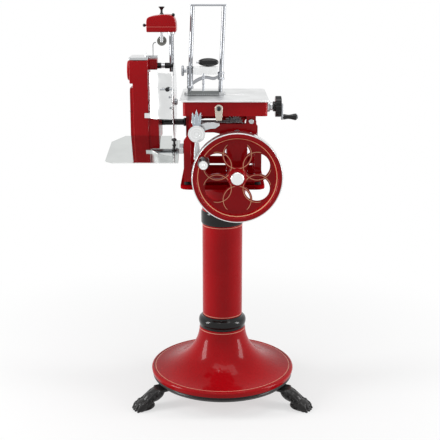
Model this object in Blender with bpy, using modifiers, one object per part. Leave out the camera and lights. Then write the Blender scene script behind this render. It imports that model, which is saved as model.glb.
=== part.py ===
"""Hand crank meat slicer with a flywheel, on a round pedestal with lion paw feet.

Metres, +Z up. X runs to the operator's right and Y away from the operator, so the
flywheel faces -Y. Places are worked out about the column's axis on the floor. The last
step moves the whole part so that its origin is under the middle of its bounding box.
"""

import math

import bmesh
import bpy
from mathutils import Matrix, Vector

PART_NAME = "meat_slicer"

# Clearances
SEAT = 0.0003
RUN = 0.0004
SLIDE = 0.0006
MERGE = 0.00001
OVERRUN = 0.004

# Roundness, as steps in a full turn
FINE_STEPS = 48
ROUND_STEPS = 32
SMALL_STEPS = 16
BALL_STEPS = 10
ARC_STEPS = 4

# Overall sizes
TOTAL_H = 1.480
MACHINE_H = 0.610
FEET_SPAN = 0.670
FOOT_FORWARD = math.radians(30.0)

# Lion paw feet
FOOT_H = 0.071
FOOT_REACH = 0.190
FOOT_W = 0.056
FOOT_EDGE = 0.007
TOE_COUNT = 4
TOE_LENGTH = 0.024
SCROLL_R = 0.013
FOOT_OUTLINE_SHARES = (
    (0.00, 1.00), (0.00, 0.83), (0.22, 0.72), (0.40, 0.50), (0.50, 0.20), (0.53, 0.00),
    (0.96, 0.00), (0.99, 0.12), (0.93, 0.45), (0.82, 0.66), (0.68, 0.80), (0.57, 0.99),
    (0.50, 1.00),
)
TOE_HEIGHT_SHARE = 0.50
SCROLL_PLACE_SHARES = (0.60, 0.76)

# Base ring and bell
RING_H = 0.020
RING_W = 0.048
RIM_R = 0.275
RIM_LIP_H = 0.021
RIM_EDGE = 0.009
BELL_H = 0.182
BELL_TOP_R = 0.088
BELL_WALL = 0.008
BELL_BORE_R = 0.040
BELL_STEPS = 6

# Column with its collar and cap
COLLAR_H = 0.047
COLLAR_R = 0.0905
COLLAR_SHOULDER = 0.013
COLUMN_R = 0.0755
COLUMN_WALL = 0.006
CAP_H = 0.1616
CAP_BAND_H = 0.052
CAP_BAND_R = 0.080
CAP_TOP_R = 0.118
CAP_LIP = 0.008

# Plate on top of the pedestal
PLATE_HALF_W = 0.150
PLATE_FRONT_Y = -0.165
PLATE_T = 0.014
PLATE_CORNER_R = 0.030

# Machine base casting
MACHINE_FOOT_R = 0.0115
MACHINE_FOOT_H = 0.012
BASE_HALF_W = 0.137
SHOULDER_HALF_W = 0.118
FRAME_T = 0.022
FRAME_FRONT_Y = -0.150
FRAME_REAR_Y = 0.212
LEG_W = 0.025
SILL_H = 0.026
BEAM_H = 0.030
WINDOW_R = 0.045
WINDOW_RADIUS_SHARE = 0.49
WEB_HALF_W = 0.036
CASTING_INSET = 0.001
SHAFT_BOSS_R = 0.022
INNER_BOSS_L = 0.016
PILLAR_HALF_D = 0.038

# Rails of the carriage
RAIL_R = 0.009
RAIL_X = 0.100
RAIL_RISE = 0.216
RAIL_OVERHANG_FRONT = 0.012
RAIL_OVERHANG_REAR = 0.096
SADDLE_HALF_W = 0.018

# Flywheel
FLY_X = 0.051
FLY_RISE = 0.0284
FLY_R = 0.159
FLY_FRONT_Y = -0.230
FLY_DEPTH = 0.048
RIM_T = 0.016
WEB_T = 0.008
WEB_DISH = 0.018
HUB_R = 0.028
HUB_PROUD = 0.003
FLY_CHAMFER = 0.0015
PETAL_COUNT = 6
PETAL_R = 0.049
PETAL_PLACE_R = 0.080
PETAL_MARGIN = 0.0045
LENS_MARGIN = 0.004
SOLID_PETAL_ANGLE = math.radians(-90.0)
HUB_CAP_R = 0.023
HUB_CAP_H = 0.011
FLY_SHAFT_R = 0.011

# Grip on the flywheel
GRIP_ANGLE = math.radians(150.0)
GRIP_PLACE_R = 0.133
GRIP_PIN_R = 0.006
GRIP_L = 0.094
GRIP_R = 0.0205
GRIP_SHARES = ((0.95, 0.80), (1.00, 0.60), (0.90, 0.35), (0.71, 0.10), (0.61, 0.00))
GRIP_GAP = 0.002
GRIP_CAP_R = 0.017
GRIP_CAP_H = 0.009
GRIP_BOSS_R = 0.010

# Spur and bevel gears
GEAR_PITCH_R = 0.036
GEAR_TEETH = 20
GEAR_T = 0.012
GEAR_FRONT_Y = -0.106
ADDENDUM_SHARE = 0.080
DEDENDUM_SHARE = 0.110
TOOTH_TIP_SHARE = 0.24
TOOTH_ROOT_SHARE = 0.66
GEAR_HUB_PROUD = 0.004
IDLER_STUB_R = 0.008
BEVEL_R = 0.026
BEVEL_TEETH = 16
BEVEL_FACE = 0.010
BEVEL_HUB_R = 0.014
BEVEL_HUB_L = 0.012
UPPER_SHAFT_R = 0.009
CROSS_SHAFT_R = 0.007
CROSS_Y = 0.128
SHAFT_NUT_R = 0.014
SHAFT_NUT_H = 0.007

# Knife casing and what carries it
KNIFE_RISE = 0.092
CASE_RIGHT_X = -0.266
CASE_T = 0.055
CASE_FRONT_Y = -0.050
CASE_REAR_Y = 0.080
CASE_LOW_REAR_Y = 0.163
CASE_BOTTOM_RISE = 0.115
CASE_TOP_RISE = 0.418
CASE_EDGE = 0.006
CASE_CORNER_R = 0.020
CASE_UPPER_EXTRA_T = 0.011
CASE_UPPER_RISE = 0.335
CASE_COVER_T = 0.012
CASE_COVER_INSET = 0.018
UPPER_COVER_R = 0.036
UPPER_COVER_T = 0.011
BRACKET_BOX_RIGHT_X = -0.2293
BRACKET_BOX_BOTTOM_RISE = 0.120
BRACKET_BOX_TOP_RISE = 0.213
UPPER_ARM_BOTTOM_RISE = 0.379
UPPER_ARM_FRONT_Y = 0.010
UPPER_ARM_REAR_Y = 0.062
CAP_PLATE_T = 0.009
CAP_PLATE_BAR_Y = 0.020
CAP_PIN_X = -0.279
CAP_PIN_R = 0.003
CAP_PIN_H = 0.013
SLEEVE_R = 0.0115
SLEEVE_FLANGE_T = 0.006
SLEEVE_FLANGE_RIM = 0.0045
SHAFT_SINK = 0.032

# Knife
BLADE_X = -0.173
BLADE_R = 0.140
BLADE_T = 0.003
BLADE_EDGE_T = 0.0006
BLADE_BEVEL_W = 0.016
KNIFE_SHAFT_R = 0.008
KNIFE_FLANGE_R = 0.040
KNIFE_FLANGE_T = 0.012
FLANGE_RIM_SHARE = 0.40
KNIFE_HUB_R = 0.0128
KNIFE_NUT_R = 0.011
KNIFE_NUT_H = 0.008
NUT_SHARES = ((0.00, 1.00), (0.70, 1.00), (1.00, 0.70), (1.00, 0.00))

# Deflector sheet with its knob
SHEET_T = 0.002
SHEET_RIGHT_X = -0.1785
SHEET_RIGHT_Y = -0.088
SHEET_BOTTOM_RISE = 0.213
SHEET_TOP_RISE = 0.376
SHEET_SAG = 0.012
SHEET_STEPS = 10
SHEET_KNOB_R = 0.008
SHEET_KNOB_H = 0.014
SHEET_KNOB_SHARES = (
    (0.00, 1.00), (0.70, 1.00), (1.00, 0.75), (0.85, 0.35), (0.40, 0.25), (0.40, 0.00),
    (0.00, 0.00),
)
SHEET_KNOB_X = -0.190
SHEET_KNOB_PLACE_SHARE = 0.656

# Slice tray
TRAY_SLOPE = math.radians(15.0)
TRAY_REAR_Y = -0.0515
TRAY_REAR_RISE = 0.1485
TRAY_DEPTH = 0.224
TRAY_LEFT_X = -0.402
TRAY_RIGHT_X = -0.151
TRAY_T = 0.002
TRAY_FRONT_CHAMFER = 0.026
TRAY_REAR_CHAMFER = 0.052
TRAY_NOTCH_X = -0.182
TRAY_NOTCH_DEPTH = 0.037
TRAY_ARM_W = 0.040
TRAY_ARM_L = 0.056
TRAY_ARM_H = 0.020
TRAY_KNOB_R = 0.010
TRAY_KNOB_H = 0.026
TRAY_KNOB_PLACE_SHARE = 0.60
TRAY_KNOB_SHARES = (
    (0.00, 1.00), (0.80, 0.92), (1.00, 0.73), (0.40, 0.62), (0.40, 0.15), (0.80, 0.00),
    (0.00, 0.00),
)

# Sharpener
POST_GAP = 0.002
SHARP_POST_R = 0.008
SHARP_POST_Y = 0.035
SHARP_POST_BOTTOM_RISE = 0.370
SHARP_POST_TOP_RISE = 0.562
BRACKET_ROD_R = 0.0105
BRACKET_ROD_RISE = 0.392
COVER_LEFT = 0.087
COVER_RIGHT = 0.019
COVER_HALF_D = 0.045
COVER_BOTTOM_RISE = 0.513
COVER_H = 0.061
COVER_SHOULDER_H = 0.045
COVER_WALL = 0.003
COVER_EDGE = 0.003
HEAD_SLEEVE_R = 0.0135
HEAD_SLEEVE_H = 0.032
HEAD_PLATE_T = 0.006
TOP_KNOB_R = 0.011
TOP_KNOB_H = 0.0275
TOP_KNOB_SHARES = (
    (0.00, 1.00), (1.00, 1.00), (0.95, 0.88), (0.35, 0.55), (0.60, 0.28), (0.35, 0.00),
    (0.00, 0.00),
)
STONE_R = 0.017
STONE_T = 0.006
STONE_GAP = 0.004
STONE_OFFSET = 0.034
STONE_AXLE_RISE = 0.481
STONE_HANGER_W = 0.010
STONE_HANGER_T = 0.004

# Carriage
APRON_LEFT_X = -0.138
APRON_RIGHT_X = 0.156
APRON_FRONT_Y = -0.165
APRON_REAR_Y = 0.205
APRON_BOTTOM_RISE = 0.235
APRON_WALL = 0.006
APRON_CORNER_R = 0.012
RIB_T = 0.012
RIB_FRONT_Y = -0.135
RIB_REAR_Y = 0.090
SHOE_HALF_W = 0.016
SHOE_L = 0.040

# Table plate
TABLE_TOP_RISE = 0.289
TABLE_T = 0.005
TABLE_LEFT_X = -0.150
TABLE_RIGHT_X = 0.162
TABLE_FRONT_Y = -0.170
TABLE_REAR_Y = 0.213
TABLE_CORNER_R = 0.008
TABLE_CHAMFER = 0.030

# Feed screw with wheel and crank
FEED_Y = -0.100
FEED_RISE = 0.261
FEED_R = 0.007
FEED_TRAVEL = 0.130
FEED_BEARING_R = 0.020
FEED_BEARING_L = 0.020
FEED_NECK_R = 0.015
WHEEL_GAP = 0.001
WHEEL_R = 0.037
WHEEL_T = 0.022
WHEEL_FLUTES = 16
FLUTE_R = 0.004
WHEEL_HUB_R = 0.018
WHEEL_HUB_L = 0.008
CRANK_DROP = 0.037
CRANK_T = 0.006
CRANK_END_R = 0.010
CRANK_PIN_R = 0.004
CRANK_PIN_HEAD_R = 0.007
CRANK_PIN_HEAD_H = 0.003
CRANK_GRIP_L = 0.048
CRANK_GRIP_R = 0.012
CRANK_GRIP_SHARES = (
    (0.85, 0.93), (1.00, 0.78), (0.85, 0.62), (0.58, 0.38), (0.58, 0.20), (0.80, 0.00),
)

# Meat clamp on the table
CLAMP_X = -0.064
CLAMP_Y = 0.020
CLAMP_HALF_L = 0.074
CLAMP_HALF_W = 0.022
CLAMP_T = 0.009
CLAMP_CORNER_R = 0.006
NECK_HALF_L = 0.012
NECK_HALF_W = 0.006
ARM_T = 0.028
NUT_WALL = 0.007
POST_SPACING = 0.112
POST_R = 0.0072
POST_LEAN = math.radians(2.5)
CROSSBAR_H = 0.007
CROSSBAR_W = 0.014
CROSSBAR_OVERHANG = 0.009

# Press on the posts, in heights above the clamp base
PRESS_SLEEVE_R = 0.012
PRESS_LEFT_BOTTOM = 0.012
PRESS_LEFT_TOP = 0.088
PRESS_RIGHT_BOTTOM = 0.038
PRESS_RIGHT_TOP = 0.066
YOKE_T = 0.010
SHIELD_HALF_L = 0.043
SHIELD_TOP = 0.092
SHIELD_BOTTOM = 0.060
SHIELD_T = 0.014
TEETH_BAR_LEFT = -0.080
TEETH_BAR_RIGHT = 0.028
TEETH_BAR_T = 0.008
TEETH_BAR_FRONT = -0.034
TEETH_BAR_TOP = 0.007
TEETH_DEPTH = 0.006
TEETH_BOW = 0.0015
TEETH_COUNT = 11
TEETH_LINK_W = 0.016
PRESS_REST_GAP = 0.001
HANDLE_HALF_L = 0.037
HANDLE_R = 0.015
HANDLE_STEM_R = 0.006
HANDLE_X = 0.011
PRESS_KNOB_R = 0.019
PRESS_KNOB_T = 0.008
PRESS_KNOB_STEM_R = 0.005
PRESS_KNOB_STEM_L = 0.010
PRESS_KNOB_DROP = 0.012
KNOB_FACE_SHARE = 0.80
KNOB_EDGE_SHARE = 0.30
YOKE_OUTLINE_SHARES = (
    (-1.00, 0.16), (-0.72, 0.18), (-0.40, 0.34), (0.00, 0.38), (0.45, 0.34), (1.00, 0.47),
    (1.00, 0.70), (0.40, 0.66), (0.00, 0.68), (-0.50, 0.74), (-1.00, 0.76),
)

# Thickness dial with its bracket
DIAL_X = -0.090
DIAL_RISE = 0.177
DIAL_R = 0.030
DIAL_T = 0.014
DIAL_SHARES = (
    (0.00, 1.00), (0.25, 1.00), (0.30, 0.80), (0.88, 0.80), (1.00, 0.60), (1.00, 0.00),
    (0.00, 0.00),
)
BRACKET_T = 0.015
FAN_T = 0.016
STALK_W = 0.022
STALK_BOTTOM_RISE = 0.080
STALK_NECK_W = 0.013
STALK_NECK_RISE = 0.152
FAN_LOBES = 3
FAN_LOBE_L = 0.082
FAN_LOBE_W = 0.021
FAN_SPREAD = math.radians(12.0)
FAN_SIDE_SHARE = 0.93
FAN_WAIST_SHARE = 0.45
FAN_TIP_SHARE = 0.15
INDEX_ARM_RIGHT_X = -0.010
INDEX_ARM_SHARES = (
    (0.00, 0.00), (0.35, 0.10), (1.00, 0.42), (1.00, 0.62), (0.72, 1.00), (0.30, 0.92),
    (0.00, 0.55),
)
INDEX_ARM_H = 0.036
INDEX_ARM_T = 0.011
INDEX_ARM_RISE = 0.177

# Lock lever on the apron
LEVER_X = -0.013
LEVER_W = 0.028
LEVER_T = 0.005
LEVER_BOTTOM_RISE = 0.220
LEVER_TOP_RISE = 0.276
LEVER_PIVOT_RISE = 0.020
LEVER_KNOB_R = 0.010
LEVER_KNOB_H = 0.014
LEVER_KNOB_SHARES = ((0.00, 1.00), (0.60, 1.00), (1.00, 0.70), (0.80, 0.30))

# Heights and places that follow from the sizes above
FOOT_TIP_R = FEET_SPAN / 2 / math.cos(FOOT_FORWARD)
STAND_HEIGHTS = (FOOT_H, RING_H, BELL_H, COLLAR_H, CAP_H, PLATE_T, MACHINE_FOOT_H)
STAND_SEATS = len(STAND_HEIGHTS) + 1
COLUMN_H = TOTAL_H - MACHINE_H - sum(STAND_HEIGHTS) - STAND_SEATS * SEAT
RING_TOP_Z = FOOT_H + SEAT + RING_H
BELL_Z = RING_TOP_Z + SEAT
BELL_TOP_Z = BELL_Z + BELL_H
COLLAR_Z = BELL_TOP_Z + SEAT
COLUMN_Z = COLLAR_Z + COLLAR_H + SEAT
CAP_Z = COLUMN_Z + COLUMN_H + SEAT
PLATE_Z = CAP_Z + CAP_H + SEAT
PLATE_REAR_Y = FRAME_REAR_Y + FRAME_FRONT_Y - PLATE_FRONT_Y
MACHINE_FOOT_Z = PLATE_Z + PLATE_T + SEAT
BASE_Z = MACHINE_FOOT_Z + MACHINE_FOOT_H + SEAT
FLY_Z = BASE_Z + FLY_RISE
IDLER_Z = FLY_Z + 2 * GEAR_PITCH_R
CROSS_Z = IDLER_Z + 2 * GEAR_PITCH_R
KNIFE_Z = CROSS_Z + KNIFE_RISE
RAIL_Z = BASE_Z + RAIL_RISE
CASE_BOTTOM_Z = BASE_Z + CASE_BOTTOM_RISE
CASE_TOP_Z = BASE_Z + CASE_TOP_RISE
CASE_UPPER_Z = BASE_Z + CASE_UPPER_RISE
BRACKET_BOX_BOTTOM_Z = BASE_Z + BRACKET_BOX_BOTTOM_RISE
BRACKET_BOX_TOP_Z = BASE_Z + BRACKET_BOX_TOP_RISE
UPPER_ARM_BOTTOM_Z = BASE_Z + UPPER_ARM_BOTTOM_RISE
SHEET_BOTTOM_Z = BASE_Z + SHEET_BOTTOM_RISE
SHEET_TOP_Z = BASE_Z + SHEET_TOP_RISE
SHEET_KNOB_Z = SHEET_BOTTOM_Z + SHEET_KNOB_PLACE_SHARE * (SHEET_TOP_Z - SHEET_BOTTOM_Z)
TRAY_REAR_Z = BASE_Z + TRAY_REAR_RISE
SHARP_POST_BOTTOM_Z = BASE_Z + SHARP_POST_BOTTOM_RISE
SHARP_POST_TOP_Z = BASE_Z + SHARP_POST_TOP_RISE
BRACKET_ROD_Z = BASE_Z + BRACKET_ROD_RISE
COVER_BOTTOM_Z = BASE_Z + COVER_BOTTOM_RISE
STONE_AXLE_Z = BASE_Z + STONE_AXLE_RISE
APRON_BOTTOM_Z = BASE_Z + APRON_BOTTOM_RISE
TABLE_TOP_Z = BASE_Z + TABLE_TOP_RISE
FEED_Z = BASE_Z + FEED_RISE
DIAL_Z = BASE_Z + DIAL_RISE
STALK_BOTTOM_Z = BASE_Z + STALK_BOTTOM_RISE
STALK_NECK_Z = BASE_Z + STALK_NECK_RISE
INDEX_ARM_Z = BASE_Z + INDEX_ARM_RISE
LEVER_BOTTOM_Z = BASE_Z + LEVER_BOTTOM_RISE
LEVER_TOP_Z = BASE_Z + LEVER_TOP_RISE
BASE_TOP_Z = RAIL_Z - RAIL_R - CASTING_INSET
FLY_BACK_Y = FLY_FRONT_Y + FLY_DEPTH
APRON_TOP_Z = TABLE_TOP_Z - TABLE_T - SEAT
CLAMP_BASE_Z = TABLE_TOP_Z + SLIDE
POST_FOOT_Z = CLAMP_BASE_Z + CLAMP_T
POST_TOP_Z = TOTAL_H - CROSSBAR_H - SEAT
SHARP_POST_X = BLADE_X - BLADE_T / 2 - POST_GAP - SHARP_POST_R
STONE_X = SHARP_POST_X - STONE_OFFSET
UPPER_ARM_RIGHT_X = STONE_X - STONE_R - SLIDE
FAN_FRONT_Y = APRON_FRONT_Y - SLIDE - FAN_T

# Rotations that stand a shape's own Z axis along a world axis
ALONG = {
    "X": (0.0, math.pi / 2, 0.0),
    "-X": (0.0, -math.pi / 2, 0.0),
    "Y": (-math.pi / 2, 0.0, 0.0),
    "-Y": (math.pi / 2, 0.0, 0.0),
    "Z": (0.0, 0.0, 0.0),
}

# Rotations that stand a flat outline upright: across Y it is drawn in X and Z
ACROSS = {
    "X": (math.pi / 2, 0.0, math.pi / 2),
    "Y": (math.pi / 2, 0.0, 0.0),
    "Z": (0.0, 0.0, 0.0),
}

# Finishes: red, green, blue, roughness, metallic
FINISHES = {
    "red_enamel": (0.36, 0.008, 0.012, 0.22, 0.0),
    "black_iron": (0.016, 0.016, 0.015, 0.45, 0.3),
    "black_paint": (0.012, 0.012, 0.012, 0.2, 0.0),
    "black_gloss": (0.012, 0.012, 0.013, 0.15, 0.0),
    "rubber": (0.02, 0.02, 0.02, 0.8, 0.0),
    "chrome": (0.75, 0.76, 0.77, 0.08, 1.0),
    "steel": (0.55, 0.56, 0.57, 0.28, 1.0),
    "aluminium": (0.72, 0.73, 0.73, 0.32, 1.0),
    "stone": (0.42, 0.40, 0.37, 0.9, 0.0),
}


def clear_scene():
    """Remove every object of the open scene."""
    for obj in list(bpy.data.objects):
        bpy.data.objects.remove(obj, do_unlink=True)


def new_collection(name):
    """Make a collection in the scene."""
    collection = bpy.data.collections.new(name)
    bpy.context.scene.collection.children.link(collection)
    return collection


def finish_material(name):
    """Return the material of one finish, made once."""
    if name in bpy.data.materials:
        return bpy.data.materials[name]
    red, green, blue, roughness, metallic = FINISHES[name]
    material = bpy.data.materials.new(name)
    material.use_nodes = True
    shader = material.node_tree.nodes["Principled BSDF"]
    shader.inputs["Base Color"].default_value = (red, green, blue, 1.0)
    shader.inputs["Roughness"].default_value = roughness
    shader.inputs["Metallic"].default_value = metallic
    return material


def add_object(name, mesh, place=(0, 0, 0), turn=(0, 0, 0)):
    """Link a mesh as a new object of the part."""
    obj = bpy.data.objects.new(name, mesh)
    obj.location = place
    obj.rotation_euler = turn
    bpy.data.collections[PART_NAME].objects.link(obj)
    return obj


def dress(obj, finish, parent):
    """Give an object its finish and hang it on its joint's empty."""
    obj.data.materials.clear()
    obj.data.materials.append(finish_material(finish))
    obj.parent = parent
    obj.matrix_parent_inverse = Matrix.Translation(-rest_place(parent))
    obj.data.shade_smooth()
    obj.data.set_sharp_from_angle(angle=math.radians(35.0))
    return obj


def rest_place(empty):
    """Return an empty's place in the modelling frame."""
    place = Vector(empty.location)
    while empty.parent:
        empty = empty.parent
        place += Vector(empty.location)
    return place


def joint_empty(name, place, parent):
    """Add an empty on a joint's axis, placed in the modelling frame."""
    empty = bpy.data.objects.new(name, None)
    empty.empty_display_size = SHARP_POST_R
    bpy.data.collections[PART_NAME].objects.link(empty)
    empty.location = Vector(place) - (rest_place(parent) if parent else Vector())
    empty.parent = parent
    return empty


def box(name, low, high, edge=0.0):
    """Make a box between two corners, with bevelled edges if an edge width is given."""
    low, high = Vector(low), Vector(high)
    mesh = bpy.data.meshes.new(name)
    bm = bmesh.new()
    bmesh.ops.create_cube(bm, size=1.0)
    bmesh.ops.scale(bm, vec=high - low, verts=bm.verts)
    bm.to_mesh(mesh)
    bm.free()
    obj = add_object(name, mesh, (low + high) / 2)
    if edge:
        round_edges(obj, edge)
    return obj


def round_edges(obj, width, segments=2):
    """Bevel an object's sharp edges."""
    bevel = obj.modifiers.new("Rounded edges", "BEVEL")
    bevel.width = width
    bevel.segments = segments
    bevel.limit_method = "ANGLE"
    bevel.angle_limit = math.radians(40.0)


def turned(name, profile, place, axis="Z", steps=ROUND_STEPS, ring=False):
    """Turn a profile of (radius, height) pairs, outer side listed from top to bottom.

    A ring's profile closes on itself and leaves a bore; any other starts and ends on
    the axis.
    """
    mesh = bpy.data.meshes.new(name)
    bm = bmesh.new()
    points = [bm.verts.new((radius, 0, height)) for radius, height in profile]
    for start, end in zip(points, points[1:]):
        bm.edges.new((start, end))
    if ring:
        bm.edges.new((points[-1], points[0]))
    bm.to_mesh(mesh)
    bm.free()
    obj = add_object(name, mesh, place, ALONG[axis])
    screw = obj.modifiers.new("Turn", "SCREW")
    screw.axis = "Z"
    screw.angle = 2 * math.pi
    screw.steps = steps
    screw.render_steps = steps
    screw.use_merge_vertices = True
    screw.merge_threshold = MERGE
    screw.use_smooth_shade = True
    return obj


def rod(name, radius, length, place, axis="Z", steps=SMALL_STEPS, chamfer=0.0):
    """Turn a plain round bar that starts at a place and runs along an axis."""
    profile = [(0, length), (radius - chamfer, length)]
    if chamfer:
        profile += [(radius, length - chamfer), (radius, chamfer)]
    else:
        profile += [(radius, 0)]
    profile += [(radius - chamfer, 0)] if chamfer else []
    return turned(name, profile + [(0, 0)], place, axis, steps)


def pipe(name, outer, inner, length, place, axis="Z", steps=ROUND_STEPS):
    """Turn a tube that starts at a place and runs along an axis."""
    profile = [(inner, length), (outer, length), (outer, 0), (inner, 0)]
    return turned(name, profile, place, axis, steps, ring=True)


def arc(centre, radius, start, end, steps=ARC_STEPS):
    """List points along an arc, both ends included."""
    angles = [start + (end - start) * i / steps for i in range(steps + 1)]
    return [
        (centre[0] + radius * math.cos(a), centre[1] + radius * math.sin(a)) for a in angles
    ]


def scaled(shares, radius, height):
    """Scale a profile that is drawn in shares of a radius and a height."""
    return [(radius * u, height * v) for u, v in shares]


def rounded(corners, radius, steps=ARC_STEPS):
    """Round every corner of a polygon with arcs of one radius."""
    points = []
    for i, corner in enumerate(corners):
        here = Vector(corner)
        before = (Vector(corners[i - 1]) - here).normalized()
        after = (Vector(corners[(i + 1) % len(corners)]) - here).normalized()
        half = before.angle(after) / 2
        middle = (before + after).normalized()
        centre = here + middle * radius / math.sin(half)
        first = here + before * radius / math.tan(half) - centre
        last = here + after * radius / math.tan(half) - centre
        swing = first.angle_signed(last)
        for k in range(steps + 1):
            spoke = first.copy()
            spoke.rotate(Matrix.Rotation(-swing * k / steps, 2))
            points.append(tuple(centre + spoke))
    return points


def slab(name, outlines, thickness, place, across="Y"):
    """Extrude flat outlines, the first the outer edge and the rest holes.

    The slab is centred on its place, and its thickness runs along the world axis given.
    """
    curve = bpy.data.curves.new(name, "CURVE")
    curve.dimensions = "2D"
    curve.fill_mode = "BOTH"
    curve.extrude = thickness / 2
    for outline in outlines:
        spline = curve.splines.new("POLY")
        spline.points.add(len(outline) - 1)
        for point, (u, v) in zip(spline.points, outline):
            point.co = (u, v, 0.0, 1.0)
        spline.use_cyclic_u = True
    holder = bpy.data.objects.new(name, curve)
    bpy.context.scene.collection.objects.link(holder)
    graph = bpy.context.evaluated_depsgraph_get()
    mesh = bpy.data.meshes.new_from_object(holder.evaluated_get(graph))
    bpy.data.objects.remove(holder)
    bpy.data.curves.remove(curve)
    bm = bmesh.new()
    bm.from_mesh(mesh)
    bmesh.ops.remove_doubles(bm, verts=bm.verts, dist=MERGE)
    bmesh.ops.recalc_face_normals(bm, faces=bm.faces)
    bm.to_mesh(mesh)
    bm.free()
    return add_object(name, mesh, place, ACROSS[across])


def ball(name, radii, place, segments=SMALL_STEPS):
    """Make a sphere or an ellipsoid."""
    mesh = bpy.data.meshes.new(name)
    bm = bmesh.new()
    bmesh.ops.create_uvsphere(bm, u_segments=segments, v_segments=segments // 2, radius=1.0)
    bmesh.ops.scale(bm, vec=radii, verts=bm.verts)
    bm.to_mesh(mesh)
    bm.free()
    return add_object(name, mesh, place)


def boolean(target, tool, operation):
    """Join a helper to an object or cut it away, and hide the helper."""
    modifier = target.modifiers.new(tool.name, "BOOLEAN")
    modifier.operation = operation
    modifier.solver = "EXACT"
    modifier.object = tool
    for collection in list(tool.users_collection):
        collection.objects.unlink(tool)
    bpy.data.collections["cutters"].objects.link(tool)
    tool.hide_render = True
    tool.display_type = "WIRE"
    tool.parent = ROOT
    tool.matrix_parent_inverse = Matrix.Identity(4)
    return target


def fuse(target, *tools):
    """Join helpers to an object."""
    for tool in tools:
        boolean(target, tool, "UNION")
    return target


def cut(target, *tools):
    """Cut helpers away from an object."""
    for tool in tools:
        boolean(target, tool, "DIFFERENCE")
    return target


def tilt(obj, frame):
    """Carry an object from an upright frame into a tilted one."""
    obj.matrix_basis = frame @ obj.matrix_basis
    return obj


def foot_outline():
    """Side view of a foot: radius from the column's axis, and height."""
    start = FOOT_TIP_R - FOOT_REACH
    return [(start + u * FOOT_REACH, v * FOOT_H) for u, v in FOOT_OUTLINE_SHARES]


def build_foot(name, heading):
    """Lion paw foot: a curved leg with scrolls on its knee and four toes."""
    turn = Matrix.Rotation(heading, 4, "Z")
    foot = slab(name, [foot_outline()], FOOT_W, (0, 0, 0), "Y")
    round_edges(foot, FOOT_EDGE)
    tilt(foot, turn)
    toe_h = FOOT_H * TOE_HEIGHT_SHARE / 2
    toe_w = FOOT_W / TOE_COUNT
    for i in range(TOE_COUNT):
        across = (i - (TOE_COUNT - 1) / 2) * toe_w
        toe = ball(
            f"{name}_toe_{i + 1}",
            (TOE_LENGTH, toe_w * math.sqrt(1 / 2), toe_h),
            (FOOT_TIP_R - TOE_LENGTH, across, toe_h),
            BALL_STEPS,
        )
        fuse(foot, tilt(toe, turn))
    reach, rise = SCROLL_PLACE_SHARES
    scroll = rod(
        f"{name}_scroll",
        SCROLL_R,
        FOOT_W + SCROLL_R,
        (FOOT_TIP_R - FOOT_REACH * (1 - reach), -(FOOT_W + SCROLL_R) / 2, FOOT_H * rise),
        "Y",
        BALL_STEPS,
    )
    fuse(foot, tilt(scroll, turn))
    return dress(foot, "black_iron", ROOT)


def bell_curve(top_r, top_z, drop, spread):
    """Trumpet curve from a neck outward: a quarter ellipse, neck first."""
    return [
        (
            top_r + spread * (1 - math.cos(math.pi / 2 * i / BELL_STEPS)),
            top_z - drop * math.sin(math.pi / 2 * i / BELL_STEPS),
        )
        for i in range(1, BELL_STEPS + 1)
    ]


def build_base():
    """Black ring on the feet, and the red bell that stands on it."""
    ring = turned(
        "base_ring",
        [
            (RIM_R - RING_W, RING_H),
            (RIM_R - RIM_EDGE, RING_H),
            (RIM_R - RIM_EDGE / 2, RING_H / 2),
            (RIM_R - RIM_EDGE, 0),
            (RIM_R - RING_W, 0),
        ],
        (0, 0, FOOT_H + SEAT),
        steps=FINE_STEPS,
        ring=True,
    )
    dress(ring, "black_iron", ROOT)
    drop = BELL_H - RIM_LIP_H
    spread = RIM_R - RIM_EDGE - BELL_TOP_R
    outer = bell_curve(BELL_TOP_R, BELL_H, drop, spread)
    lip = arc((RIM_R - RIM_EDGE, RIM_LIP_H - RIM_EDGE), RIM_EDGE, math.pi / 2, 0)[1:]
    inner = bell_curve(BELL_TOP_R - BELL_WALL, BELL_H - BELL_WALL, drop, spread)
    bell = turned(
        "base_bell",
        [(BELL_BORE_R, BELL_H), (BELL_TOP_R, BELL_H)]
        + outer
        + lip
        + [(RIM_R, 0), (RIM_R - RIM_EDGE - BELL_WALL, 0)]
        + inner[::-1]
        + [(BELL_TOP_R - BELL_WALL, BELL_H - BELL_WALL), (BELL_BORE_R, BELL_H - BELL_WALL)],
        (0, 0, BELL_Z),
        steps=FINE_STEPS,
        ring=True,
    )
    dress(bell, "red_enamel", ROOT)


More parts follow.
